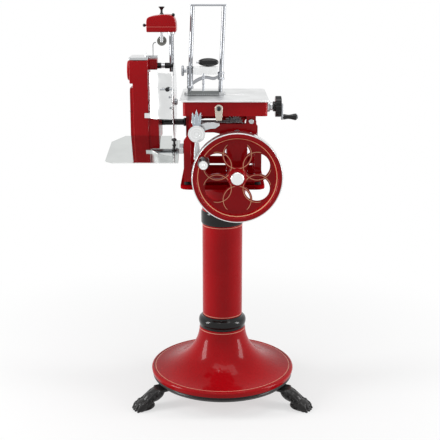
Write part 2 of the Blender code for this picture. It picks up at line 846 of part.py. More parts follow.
def build_column():
    """Collar, column tube and cap, all turned, and the plate on top."""
    collar = turned(
        "column_collar",
        [
            (BELL_BORE_R, COLLAR_H),
            (COLLAR_R - COLLAR_SHOULDER, COLLAR_H),
            (COLLAR_R, COLLAR_H - COLLAR_SHOULDER),
            (COLLAR_R, COLLAR_SHOULDER / 2),
            (BELL_TOP_R, 0),
            (BELL_BORE_R, 0),
        ],
        (0, 0, COLLAR_Z),
        ring=True,
    )
    dress(collar, "black_paint", ROOT)
    column = pipe(
        "column", COLUMN_R, COLUMN_R - COLUMN_WALL, COLUMN_H, (0, 0, COLUMN_Z)
    )
    dress(column, "red_enamel", ROOT)
    flare = CAP_H - CAP_LIP - CAP_BAND_H
    cap = turned(
        "column_cap",
        [(0, CAP_H), (CAP_TOP_R, CAP_H), (CAP_TOP_R, CAP_H - CAP_LIP)]
        + [
            (
                COLUMN_R + (CAP_TOP_R - COLUMN_R) * (1 - math.sin(math.pi / 2 * i / ARC_STEPS)),
                CAP_BAND_H + flare * math.cos(math.pi / 2 * i / ARC_STEPS),
            )
            for i in range(1, ARC_STEPS)
        ]
        + [(COLUMN_R, CAP_BAND_H), (CAP_BAND_R, CAP_BAND_H - CAP_LIP)]
        + [(CAP_BAND_R, CAP_LIP), (COLUMN_R, 0), (0, 0)],
        (0, 0, CAP_Z),
    )
    dress(cap, "black_paint", ROOT)
    outline = rounded(
        [
            (-PLATE_HALF_W, PLATE_FRONT_Y),
            (PLATE_HALF_W, PLATE_FRONT_Y),
            (PLATE_HALF_W, PLATE_REAR_Y),
            (-PLATE_HALF_W, PLATE_REAR_Y),
        ],
        PLATE_CORNER_R,
    )
    plate = slab("top_plate", [outline], PLATE_T, (0, 0, PLATE_Z + PLATE_T / 2), "Z")
    dress(plate, "red_enamel", ROOT)


def frame_outline():
    """Front view of one end frame: legs on sills, and saddles for the rails."""
    saddle_z = RAIL_Z - SLIDE
    waist_z = CROSS_Z
    half = [
        (BASE_HALF_W, BASE_Z),
        (BASE_HALF_W, waist_z - SILL_H),
        (SHOULDER_HALF_W, waist_z),
        (SHOULDER_HALF_W, saddle_z),
        (RAIL_X - SADDLE_HALF_W, saddle_z),
        (RAIL_X - SADDLE_HALF_W, BASE_TOP_Z),
    ]
    return half + [(-x, z) for x, z in half[::-1]]


def window_outline(left, right):
    """Arched opening of an end frame between two edges."""
    radius = min(WINDOW_R, (right - left) * WINDOW_RADIUS_SHARE)
    low = BASE_Z + SILL_H
    high = BASE_TOP_Z - BEAM_H
    top = arc((right - radius, high - radius), radius, 0, math.pi / 2) + arc(
        (left + radius, high - radius), radius, math.pi / 2, math.pi
    )
    return [(left, low), (right, low)] + top


def build_machine_base():
    """Casting with two end frames, sills, beams, bearing bosses and a knife pillar."""
    left_window = window_outline(LEG_W - BASE_HALF_W, FLY_X - WEB_HALF_W)
    right_window = window_outline(FLY_X + WEB_HALF_W, BASE_HALF_W - LEG_W)
    outlines = [frame_outline(), left_window, right_window]
    front_y = FRAME_FRONT_Y + FRAME_T / 2
    rear_y = FRAME_REAR_Y - FRAME_T / 2
    base = slab("machine_base", outlines, FRAME_T, (0, front_y, 0))
    fuse(base, slab("rear_frame", outlines, FRAME_T, (0, rear_y, 0)))
    for side, sign in (("left", -1), ("right", 1)):
        sill_x = sign * (BASE_HALF_W - LEG_W / 2)
        sill_half = LEG_W / 2 - CASTING_INSET
        sill = box(
            f"sill_{side}",
            (sill_x - sill_half, front_y, BASE_Z + CASTING_INSET),
            (sill_x + sill_half, rear_y, BASE_Z + SILL_H - CASTING_INSET),
        )
        beam = box(
            f"beam_{side}",
            (sign * RAIL_X - SADDLE_HALF_W / 2, front_y, BASE_TOP_Z - BEAM_H),
            (sign * RAIL_X + SADDLE_HALF_W / 2, rear_y, BASE_TOP_Z - CASTING_INSET),
        )
        fuse(base, sill, beam)
    for side, sign in (("left", -1), ("right", 1)):
        groove = rod(
            f"saddle_{side}",
            RAIL_R + SEAT,
            FRAME_REAR_Y - FRAME_FRONT_Y + 2 * OVERRUN,
            (sign * RAIL_X, FRAME_FRONT_Y - OVERRUN, RAIL_Z),
            "Y",
        )
        cut(base, groove)
    pillar = box(
        "knife_pillar",
        (-BASE_HALF_W, CROSS_Y - PILLAR_HALF_D, BASE_Z + SILL_H / 2),
        (SADDLE_HALF_W / 3 - RAIL_X, CROSS_Y + PILLAR_HALF_D, BASE_TOP_Z),
    )
    fuse(base, pillar)
    boss_end = FLY_BACK_Y + HUB_PROUD + SEAT
    front_boss = rod(
        "front_boss",
        SHAFT_BOSS_R,
        front_y - boss_end,
        (FLY_X, boss_end, FLY_Z),
        "Y",
    )
    upper_boss = rod(
        "upper_boss",
        SHAFT_BOSS_R - RAIL_R / 2,
        FRAME_T / 2 + INNER_BOSS_L,
        (FLY_X, front_y, CROSS_Z),
        "Y",
    )
    collar_l = GEAR_FRONT_Y - RUN - front_y
    stub_l = collar_l + GEAR_T + 2 * RUN
    head_r = IDLER_STUB_R + GEAR_HUB_PROUD
    stub = turned(
        "idler_stub",
        [
            (0, stub_l + GEAR_HUB_PROUD),
            (head_r, stub_l + GEAR_HUB_PROUD),
            (head_r, stub_l),
            (IDLER_STUB_R, stub_l),
            (IDLER_STUB_R, collar_l),
            (head_r, collar_l),
            (head_r, 0),
            (0, 0),
        ],
        (FLY_X, front_y, IDLER_Z),
        "Y",
        SMALL_STEPS,
    )
    fuse(base, front_boss, upper_boss, stub)
    length = FRAME_REAR_Y - boss_end + 2 * OVERRUN
    fly_bore = rod(
        "fly_bore", FLY_SHAFT_R + RUN, length, (FLY_X, boss_end - OVERRUN, FLY_Z), "Y"
    )
    upper_bore = rod(
        "upper_bore",
        UPPER_SHAFT_R + RUN,
        FRAME_REAR_Y - FRAME_FRONT_Y + 2 * OVERRUN,
        (FLY_X, FRAME_FRONT_Y - OVERRUN, CROSS_Z),
        "Y",
    )
    cross_bore = rod(
        "cross_bore",
        CROSS_SHAFT_R + RUN,
        BASE_HALF_W - RAIL_X + SADDLE_HALF_W + 2 * OVERRUN,
        (-BASE_HALF_W - OVERRUN, CROSS_Y, CROSS_Z),
        "X",
    )
    cut(base, cross_bore, fly_bore, upper_bore)
    dress(base, "red_enamel", ROOT)


def build_machine_feet():
    """Four rubber feet between the top plate and the casting."""
    spread_x = BASE_HALF_W - MACHINE_FOOT_R
    middle = FRAME_T / 2
    places = [
        (x, y)
        for y in (FRAME_FRONT_Y + middle, FRAME_REAR_Y - middle)
        for x in (-spread_x, spread_x)
    ]
    for number, (x, y) in enumerate(places, start=1):
        foot = rod(
            f"machine_foot_{number}",
            MACHINE_FOOT_R,
            MACHINE_FOOT_H,
            (x, y, MACHINE_FOOT_Z),
            chamfer=CASTING_INSET,
        )
        dress(foot, "rubber", ROOT)


def build_rails():
    """Two round rails along Y, lying in the saddles of the end frames."""
    start = FRAME_FRONT_Y - RAIL_OVERHANG_FRONT
    length = FRAME_REAR_Y + RAIL_OVERHANG_REAR - start
    for side, sign in (("left", -1), ("right", 1)):
        rail = rod(
            f"rail_{side}",
            RAIL_R,
            length,
            (sign * RAIL_X, start, RAIL_Z),
            "Y",
            chamfer=CASTING_INSET,
        )
        dress(rail, "steel", ROOT)


def circle_cross(first, first_r, second, second_r):
    """Return the two points where two circles cross, the left one first."""
    a, b = Vector(first), Vector(second)
    span = (b - a).length
    along = (span**2 + first_r**2 - second_r**2) / (2 * span)
    aside = math.sqrt(first_r**2 - along**2)
    forward = (b - a).normalized()
    left = Vector((-forward.y, forward.x))
    foot = a + forward * along
    return foot + left * aside, foot - left * aside


def petal_outline(heading):
    """Opening of one petal: its circle, less its two neighbours' circles."""
    own_r = PETAL_R - PETAL_MARGIN
    other_r = PETAL_R + PETAL_MARGIN
    step = 2 * math.pi / PETAL_COUNT
    own = Vector((PETAL_PLACE_R * math.cos(heading), PETAL_PLACE_R * math.sin(heading)))
    before = Vector(
        (PETAL_PLACE_R * math.cos(heading - step), PETAL_PLACE_R * math.sin(heading - step))
    )
    after = Vector(
        (PETAL_PLACE_R * math.cos(heading + step), PETAL_PLACE_R * math.sin(heading + step))
    )
    near_before, far_before = circle_cross(before, other_r, own, own_r)
    far_after, near_after = circle_cross(after, other_r, own, own_r)
    stops = [
        (own, own_r, far_before, far_after, 2),
        (after, other_r, far_after, near_after, 1),
        (own, own_r, near_after, near_before, 1),
        (before, other_r, near_before, far_before, 1),
    ]
    points = []
    for centre, radius, start, end, weight in stops:
        first, last = start - centre, end - centre
        swing = -first.angle_signed(last)
        angle = math.atan2(first.y, first.x)
        points += arc(centre, radius, angle, angle + swing, weight * ARC_STEPS)[:-1]
    return points


def lens_outline(heading):
    """Opening where two neighbouring petals overlap, less its margin."""
    radius = PETAL_R - LENS_MARGIN
    half = math.pi / PETAL_COUNT
    centres = [
        Vector((PETAL_PLACE_R * math.cos(a), PETAL_PLACE_R * math.sin(a)))
        for a in (heading - half, heading + half)
    ]
    inner, outer = circle_cross(centres[0], radius, centres[1], radius)
    points = []
    for centre, start, end in ((centres[0], outer, inner), (centres[1], inner, outer)):
        first, last = start - centre, end - centre
        angle = math.atan2(first.y, first.x)
        swing = -first.angle_signed(last)
        points += arc(centre, radius, angle, angle + swing)[:-1]
    return points


def build_flywheel(wheel):
    """Dished flywheel with flower openings, its shaft with a domed head, and grip pin."""
    web_top = FLY_DEPTH - WEB_DISH
    rim_inner = FLY_R - RIM_T
    flywheel = turned(
        "flywheel",
        [
            (FLY_SHAFT_R + SEAT, FLY_DEPTH + HUB_PROUD),
            (HUB_R, FLY_DEPTH + HUB_PROUD),
            (HUB_R + FLY_CHAMFER, web_top + WEB_T / 2),
            (HUB_R + WEB_T, web_top),
            (rim_inner - RIM_T, web_top),
            (rim_inner, FLY_DEPTH - FLY_CHAMFER),
            (rim_inner + FLY_CHAMFER, FLY_DEPTH),
            (FLY_R - FLY_CHAMFER, FLY_DEPTH),
            (FLY_R, FLY_DEPTH - FLY_CHAMFER),
            (FLY_R, FLY_CHAMFER),
            (FLY_R - FLY_CHAMFER, 0),
            (rim_inner, 0),
            (rim_inner, web_top - WEB_T),
            (HUB_R + WEB_T, web_top - WEB_T),
            (HUB_R, HUB_PROUD * 2),
            (HUB_R, -HUB_PROUD),
            (FLY_SHAFT_R + SEAT, -HUB_PROUD),
        ],
        (FLY_X, FLY_BACK_Y, FLY_Z),
        "-Y",
        FINE_STEPS,
        ring=True,
    )
    flywheel.data.transform(Matrix.Rotation(math.pi / FINE_STEPS, 4, "Z"))
    for i in range(PETAL_COUNT):
        heading = SOLID_PETAL_ANGLE + 2 * math.pi * i / PETAL_COUNT
        place = (FLY_X, FLY_FRONT_Y + FLY_DEPTH / 2, FLY_Z)
        depth = FLY_DEPTH + 2 * OVERRUN
        lens = lens_outline(heading + math.pi / PETAL_COUNT)
        cut(flywheel, slab(f"lens_{i}", [lens], depth, place))
        if i:
            cut(flywheel, slab(f"petal_{i}", [petal_outline(heading)], depth, place))
    pin_x = FLY_X + GRIP_PLACE_R * math.cos(GRIP_ANGLE)
    pin_z = FLY_Z + GRIP_PLACE_R * math.sin(GRIP_ANGLE)
    boss_y = FLY_FRONT_Y + WEB_DISH + WEB_T / 2
    boss = rod(
        "grip_boss", GRIP_BOSS_R, boss_y - FLY_FRONT_Y, (pin_x, boss_y, pin_z), "-Y"
    )
    fuse(flywheel, boss)
    dress(flywheel, "red_enamel", wheel)
    cap_y = FLY_FRONT_Y - HUB_PROUD - SEAT
    rear_y = FRAME_REAR_Y + SHAFT_NUT_H
    dome = [
        (radius, rear_y - cap_y + HUB_CAP_H * share)
        for radius, share in (
            (HUB_CAP_R * math.sin(math.pi / 2 * i / ARC_STEPS),
             (1 + math.cos(math.pi / 2 * i / ARC_STEPS)) / 2)
            for i in range(ARC_STEPS + 1)
        )
    ]
    under_cap = [(HUB_CAP_R, rear_y - cap_y), (FLY_SHAFT_R, rear_y - cap_y)]
    shaft = turned(
        "flywheel_shaft",
        dome + under_cap + [(FLY_SHAFT_R, 0), (0, 0)],
        (FLY_X, rear_y, FLY_Z),
        "-Y",
    )
    dress(shaft, "chrome", wheel)
    pin_l = GRIP_GAP * 2 + GRIP_L
    pin_y = FLY_FRONT_Y - SEAT
    grip_pin = turned(
        "grip_pin",
        [
            (0, pin_l + GRIP_CAP_H),
            (GRIP_CAP_R - GRIP_GAP, pin_l + GRIP_CAP_H),
            (GRIP_CAP_R, pin_l + GRIP_CAP_H - GRIP_GAP),
            (GRIP_CAP_R, pin_l),
            (GRIP_PIN_R, pin_l),
            (GRIP_PIN_R, 0),
            (0, 0),
        ],
        (pin_x, pin_y, pin_z),
        "-Y",
        SMALL_STEPS,
    )
    dress(grip_pin, "chrome", wheel)
    return pin_x, pin_y, pin_z


def build_crank_grip(grip, pin_place):
    """Turning grip of the flywheel, bulged in its middle."""
    bore = GRIP_PIN_R + RUN
    body = turned(
        "crank_grip",
        [
            (bore, GRIP_L),
            (GRIP_CAP_R, GRIP_L),
            *scaled(GRIP_SHARES, GRIP_R, GRIP_L),
            (bore, 0),
        ],
        (pin_place[0], pin_place[1] - GRIP_GAP, pin_place[2]),
        "-Y",
        SMALL_STEPS,
        ring=True,
    )
    dress(body, "black_gloss", grip)


def gear_outline(teeth, pitch_r, first_angle):
    """Closed outline of a gear with straight flanked teeth."""
    pitch = 2 * math.pi / teeth
    tip_r = pitch_r * (1 + ADDENDUM_SHARE)
    root_r = pitch_r * (1 - DEDENDUM_SHARE)
    points = []
    for i in range(teeth):
        middle = first_angle + i * pitch
        for radius, aside in (
            (root_r, -TOOTH_ROOT_SHARE / 2),
            (tip_r, -TOOTH_TIP_SHARE / 2),
            (tip_r, TOOTH_TIP_SHARE / 2),
            (root_r, TOOTH_ROOT_SHARE / 2),
        ):
            angle = middle + aside * pitch
            points.append((radius * math.cos(angle), radius * math.sin(angle)))
    return points


def spur_gear(name, z, bore_r, tooth_angle):
    """Flat gear at one shaft height, bored for its shaft."""
    middle_y = GEAR_FRONT_Y + GEAR_T / 2
    outline = gear_outline(GEAR_TEETH, GEAR_PITCH_R, tooth_angle)
    bore = arc((0, 0), bore_r, 0, 2 * math.pi, SMALL_STEPS)[:-1]
    return slab(name, [outline, bore], GEAR_T, (FLY_X, middle_y, z))


def bevel_gear(name, tooth_angle):
    """Bevel gear: a toothed frustum toward its apex, with a hub behind it.

    It lies along Z with its apex at the origin and its small end down.
    """
    outline = gear_outline(BEVEL_TEETH, BEVEL_R, tooth_angle)
    small = (BEVEL_R - BEVEL_FACE) / BEVEL_R
    mesh = bpy.data.meshes.new(name)
    bm = bmesh.new()
    big_end = bm.faces.new([bm.verts.new((x, y, BEVEL_R)) for x, y in outline])
    sides = bmesh.ops.extrude_face_region(bm, geom=[big_end])
    moved = [item for item in sides["geom"] if isinstance(item, bmesh.types.BMVert)]
    for vert in moved:
        vert.co *= small
    bmesh.ops.recalc_face_normals(bm, faces=bm.faces)
    bm.to_mesh(mesh)
    bm.free()
    return add_object(name, mesh)


def build_gear_train(wheel, idler, upper, cross):
    """Three spur gears up from the flywheel, and a bevel pair to the cross shaft."""
    half_pitch = math.pi / GEAR_TEETH
    up = math.pi / 2
    drive = spur_gear("drive_gear", FLY_Z, FLY_SHAFT_R + SEAT, up)
    dress(drive, "steel", wheel)
    idle = spur_gear("idler_gear", IDLER_Z, IDLER_STUB_R + RUN, up + half_pitch)
    dress(idle, "steel", idler)
    driven = spur_gear("driven_gear", CROSS_Z, UPPER_SHAFT_R + SEAT, up)
    dress(driven, "steel", upper)

    apex = (FLY_X, CROSS_Y, CROSS_Z)
    small_end = BEVEL_R - BEVEL_FACE + MERGE
    front_end = CROSS_Y - FRAME_FRONT_Y + SEAT
    upper_shaft = turned(
        "upper_shaft",
        [
            (0, front_end + SHAFT_NUT_H),
            (SHAFT_NUT_R, front_end + SHAFT_NUT_H),
            (SHAFT_NUT_R, front_end),
            (UPPER_SHAFT_R, front_end),
            (UPPER_SHAFT_R, BEVEL_R + BEVEL_HUB_L),
            (BEVEL_HUB_R, BEVEL_R + BEVEL_HUB_L),
            (BEVEL_HUB_R, small_end),
            (UPPER_SHAFT_R, small_end),
            (UPPER_SHAFT_R, CROSS_Y - FRAME_REAR_Y),
            (0, CROSS_Y - FRAME_REAR_Y),
        ],
        apex,
        "-Y",
    )
    upper_teeth = bevel_gear("upper_bevel", 0.0)
    upper_teeth.location = apex
    upper_teeth.rotation_euler = ALONG["-Y"]
    fuse(upper_shaft, upper_teeth)
    dress(upper_shaft, "steel", upper)

    shaft_end = CASE_RIGHT_X - SHAFT_SINK
    cross_shaft = turned(
        "cross_shaft",
        [
            (0, FLY_X - shaft_end),
            (CROSS_SHAFT_R, FLY_X - shaft_end),
            (CROSS_SHAFT_R, BEVEL_R + BEVEL_HUB_L),
            (BEVEL_HUB_R, BEVEL_R + BEVEL_HUB_L),
            (BEVEL_HUB_R, small_end),
            (0, small_end),
        ],
        apex,
        "-X",
    )
    cross_teeth = bevel_gear("cross_bevel", math.pi / BEVEL_TEETH)
    cross_teeth.location = apex
    cross_teeth.rotation_euler = ALONG["-X"]
    fuse(cross_shaft, cross_teeth)
    dress(cross_shaft, "steel", cross)


def case_outline(inset, top_z):
    """Side view of the casing: low at the rear, where it holds the cross shaft."""
    slope_z = min(CASE_UPPER_Z, top_z - CASE_CORNER_R)
    return rounded(
        [
            (CASE_FRONT_Y + inset, CASE_BOTTOM_Z + inset),
            (CASE_LOW_REAR_Y - inset, CASE_BOTTOM_Z + inset),
            (CASE_LOW_REAR_Y - inset, KNIFE_Z - CASE_CORNER_R - inset),
            (CASE_REAR_Y - inset, slope_z - inset),
            (CASE_REAR_Y - inset, top_z - inset),
            (CASE_FRONT_Y + inset, top_z - inset),
        ],
        CASE_EDGE + inset / 2,
        2,
    )


def build_knife_casing():
    """Chain casing on the knife side, its covers, brackets, arm and cap plate."""
    middle_y = (CASE_FRONT_Y + CASE_REAR_Y) / 2
    left_x = CASE_RIGHT_X - CASE_T
    body = slab(
        "knife_casing", [case_outline(0, CASE_TOP_Z)], CASE_T, (CASE_RIGHT_X - CASE_T / 2, 0, 0), "X"
    )
    round_edges(body, CASE_EDGE / 2, 1)
    upper = box(
        "upper_body",
        (left_x - CASE_UPPER_EXTRA_T, CASE_FRONT_Y, CASE_UPPER_Z),
        (left_x + CASE_EDGE, CASE_REAR_Y, CASE_TOP_Z),
        CASE_EDGE / 2,
    )
    upper_cover = rod(
        "upper_cover",
        UPPER_COVER_R,
        UPPER_COVER_T + CASE_EDGE,
        (left_x - CASE_UPPER_EXTRA_T + CASE_EDGE, middle_y, (CASE_UPPER_Z + CASE_TOP_Z) / 2),
        "-X",
        chamfer=CASE_EDGE / 2,
    )
    lower_cover = slab(
        "lower_cover",
        [case_outline(CASE_COVER_INSET, CASE_UPPER_Z)],
        CASE_COVER_T + CASE_EDGE,
        (left_x - CASE_COVER_T / 2 + CASE_EDGE / 2, 0, 0),
        "X",
    )
    bracket = box(
        "bracket_box",
        (CASE_RIGHT_X - CASE_EDGE, CASE_FRONT_Y + CASE_EDGE / 3, BRACKET_BOX_BOTTOM_Z),
        (BRACKET_BOX_RIGHT_X, CASE_LOW_REAR_Y - CASE_EDGE, BRACKET_BOX_TOP_Z),
        CASE_EDGE / 3,
    )
    arm = box(
        "upper_arm",
        (CASE_RIGHT_X - CASE_EDGE, UPPER_ARM_FRONT_Y, UPPER_ARM_BOTTOM_Z),
        (UPPER_ARM_RIGHT_X, UPPER_ARM_REAR_Y, CASE_TOP_Z - CASTING_INSET),
        CASE_EDGE / 3,
    )
    fuse(body, upper, upper_cover, lower_cover, bracket, arm)
    cross_bore = rod(
        "case_cross_bore",
        CROSS_SHAFT_R + RUN,
        BRACKET_BOX_RIGHT_X - CASE_RIGHT_X + SHAFT_SINK + 2 * OVERRUN,
        (BRACKET_BOX_RIGHT_X + OVERRUN, CROSS_Y, CROSS_Z),
        "-X",
    )
    knife_bore = rod(
        "case_knife_bore",
        KNIFE_SHAFT_R + RUN,
        SHAFT_SINK + 2 * OVERRUN,
        (CASE_RIGHT_X + OVERRUN, 0, KNIFE_Z),
        "-X",
    )
    cut(body, cross_bore, knife_bore)
    dress(body, "red_enamel", ROOT)

    cap_z = CASE_TOP_Z + SEAT
    cap_outline = rounded(
        [
            (left_x - CASE_UPPER_EXTRA_T, CASE_FRONT_Y),
            (CASE_RIGHT_X, CASE_FRONT_Y),
            (CASE_RIGHT_X, UPPER_ARM_REAR_Y - CAP_PLATE_BAR_Y),
            (UPPER_ARM_RIGHT_X, UPPER_ARM_REAR_Y - CAP_PLATE_BAR_Y),
            (UPPER_ARM_RIGHT_X, UPPER_ARM_REAR_Y),
            (CASE_RIGHT_X, UPPER_ARM_REAR_Y + CASE_EDGE),
            (CASE_RIGHT_X, CASE_REAR_Y),
            (left_x - CASE_UPPER_EXTRA_T, CASE_REAR_Y),
        ],
        CASE_EDGE / 3,
        2,
    )
    cap = slab("casing_cap", [cap_outline], CAP_PLATE_T, (0, 0, cap_z + CAP_PLATE_T / 2), "Z")
    pin = turned(
        "cap_pin",
        [
            (0, CAP_PLATE_T + CAP_PIN_H),
            (CAP_PIN_R / 2, CAP_PLATE_T + CAP_PIN_H),
            (CAP_PIN_R, CAP_PLATE_T),
            (CAP_PIN_R, CAP_PLATE_T / 2),
            (0, CAP_PLATE_T / 2),
        ],
        (CAP_PIN_X, (UPPER_ARM_FRONT_Y + UPPER_ARM_REAR_Y) / 2, cap_z),
        steps=BALL_STEPS,
    )
    fuse(cap, pin)
    dress(cap, "chrome", ROOT)


def build_cross_sleeve():
    """Sleeve round the cross shaft, which carries the casing on the base's pillar."""
    bore = CROSS_SHAFT_R + RUN
    start = -BASE_HALF_W - SEAT
    length = start - (BRACKET_BOX_RIGHT_X + SEAT)
    flange = SLEEVE_R + SLEEVE_FLANGE_RIM
    sleeve = turned(
        "cross_sleeve",
        [
            (bore, length),
            (SLEEVE_R, length),
            (SLEEVE_R, SLEEVE_FLANGE_T),
            (flange, SLEEVE_FLANGE_T),
            (flange, 0),
            (bore, 0),
        ],
        (start, CROSS_Y, CROSS_Z),
        "-X",
        ring=True,
    )
    dress(sleeve, "black_paint", ROOT)


def build_knife(knife):
    """Knife shaft with its flange and nut, and the round blade between them."""
    blade_left = BLADE_X - BLADE_T / 2
    blade_right = BLADE_X + BLADE_T / 2
    shaft_left = CASE_RIGHT_X - SHAFT_SINK
    flange_right = blade_left - SEAT
    nut_left = blade_right + SEAT
    seats = [
        *[(r, nut_left + x) for r, x in scaled(NUT_SHARES, KNIFE_NUT_R, KNIFE_NUT_H)],
        (KNIFE_SHAFT_R, nut_left),
        (KNIFE_SHAFT_R, flange_right),
        (KNIFE_FLANGE_R, flange_right),
        (KNIFE_FLANGE_R, flange_right - KNIFE_FLANGE_T * FLANGE_RIM_SHARE),
        (KNIFE_HUB_R, flange_right - KNIFE_FLANGE_T),
        (KNIFE_SHAFT_R, flange_right - KNIFE_FLANGE_T),
        (KNIFE_SHAFT_R, shaft_left),
        (0, shaft_left),
    ]
    shaft = turned("knife_shaft", seats, (0, 0, KNIFE_Z), "X")
    dress(shaft, "chrome", knife)
    blade = turned(
        "blade",
        [
            (KNIFE_SHAFT_R + SEAT, BLADE_T),
            (BLADE_R - BLADE_BEVEL_W, BLADE_T),
            (BLADE_R, BLADE_EDGE_T),
            (BLADE_R, 0),
            (KNIFE_SHAFT_R + SEAT, 0),
        ],
        (blade_left, 0, KNIFE_Z),
        "X",
        FINE_STEPS,
        ring=True,
    )
    dress(blade, "steel", knife)


def build_deflector():
    """Curved sheet between the blade and the casing, with its knob."""
    left = Vector((CASE_RIGHT_X + SEAT + SHEET_T, CASE_FRONT_Y + CASE_EDGE))
    right = Vector((SHEET_RIGHT_X, SHEET_RIGHT_Y))
    along = right - left
    aside = Vector((along.y, -along.x)).normalized()

    def edge(offset):
        return [
            tuple(left + along * t + aside * (offset + SHEET_SAG * math.sin(math.pi * t)))
            for t in (i / SHEET_STEPS for i in range(SHEET_STEPS + 1))
        ]

    outline = edge(0) + edge(SHEET_T)[::-1]
    height = SHEET_TOP_Z - SHEET_BOTTOM_Z
    sheet = slab("deflector", [outline], height, (0, 0, SHEET_BOTTOM_Z + height / 2), "Z")
    dress(sheet, "aluminium", ROOT)
    share = (SHEET_KNOB_X - left.x) / along.x
    outer = left + along * share + aside * (SHEET_T + SHEET_SAG * math.sin(math.pi * share))
    slope = along + aside * SHEET_SAG * math.pi * math.cos(math.pi * share)
    outer += Vector((slope.y, -slope.x)).normalized() * SEAT
    knob = turned(
        "deflector_knob",
        scaled(SHEET_KNOB_SHARES, SHEET_KNOB_R, SHEET_KNOB_H),
        (outer.x, outer.y, SHEET_KNOB_Z),
        "-Y",
        SMALL_STEPS,
    )
    knob.rotation_euler[2] = math.atan2(slope.y, slope.x)
    dress(knob, "black_gloss", ROOT)


def build_tray():
    """Sloping slice tray, the arm that carries it and the knob that holds it."""
    frame = Matrix.Translation((0, TRAY_REAR_Y, TRAY_REAR_Z)) @ Matrix.Rotation(
        TRAY_SLOPE, 4, "X"
    )
    corners = [
        (TRAY_LEFT_X + TRAY_FRONT_CHAMFER, -TRAY_DEPTH),
        (TRAY_RIGHT_X, -TRAY_DEPTH),
        (TRAY_RIGHT_X, -TRAY_NOTCH_DEPTH),
        (TRAY_NOTCH_X, -TRAY_NOTCH_DEPTH),
        (TRAY_NOTCH_X, 0),
        (TRAY_LEFT_X + TRAY_REAR_CHAMFER, 0),
        (TRAY_LEFT_X + TRAY_FRONT_CHAMFER / 4, -TRAY_REAR_CHAMFER),
        (TRAY_LEFT_X, TRAY_FRONT_CHAMFER / 2 - TRAY_DEPTH),
    ]
    outline = rounded(corners, TRAY_T, 2)
    tray = slab("tray", [outline], TRAY_T, (0, 0, -TRAY_T / 2), "Z")
    dress(tilt(tray, frame), "chrome", ROOT)

    front = FRAME_FRONT_Y + CASTING_INSET
    middle = front + TRAY_ARM_W / 2

    def under(y):
        level = TRAY_REAR_Z + (y - TRAY_REAR_Y) * math.tan(TRAY_SLOPE)
        return level - (TRAY_T + SEAT) / math.cos(TRAY_SLOPE)

    side_view = [
        (front, under(front) - TRAY_ARM_H),
        (front + TRAY_ARM_W, under(front) - TRAY_ARM_H),
        (front + TRAY_ARM_W, under(front + TRAY_ARM_W)),
        (front, under(front)),
    ]
    right_x = -BASE_HALF_W - SEAT
    arm = slab("tray_arm", [side_view], TRAY_ARM_L, (right_x - TRAY_ARM_L / 2, 0, 0), "X")
    dress(arm, "aluminium", ROOT)

    knob = turned(
        "tray_knob",
        scaled(TRAY_KNOB_SHARES, TRAY_KNOB_R, TRAY_KNOB_H),
        (
            right_x - TRAY_ARM_L * TRAY_KNOB_PLACE_SHARE,
            (middle - TRAY_REAR_Y) / math.cos(TRAY_SLOPE),
            SEAT,
        ),
        steps=SMALL_STEPS,
    )
    dress(tilt(knob, frame), "black_gloss", ROOT)


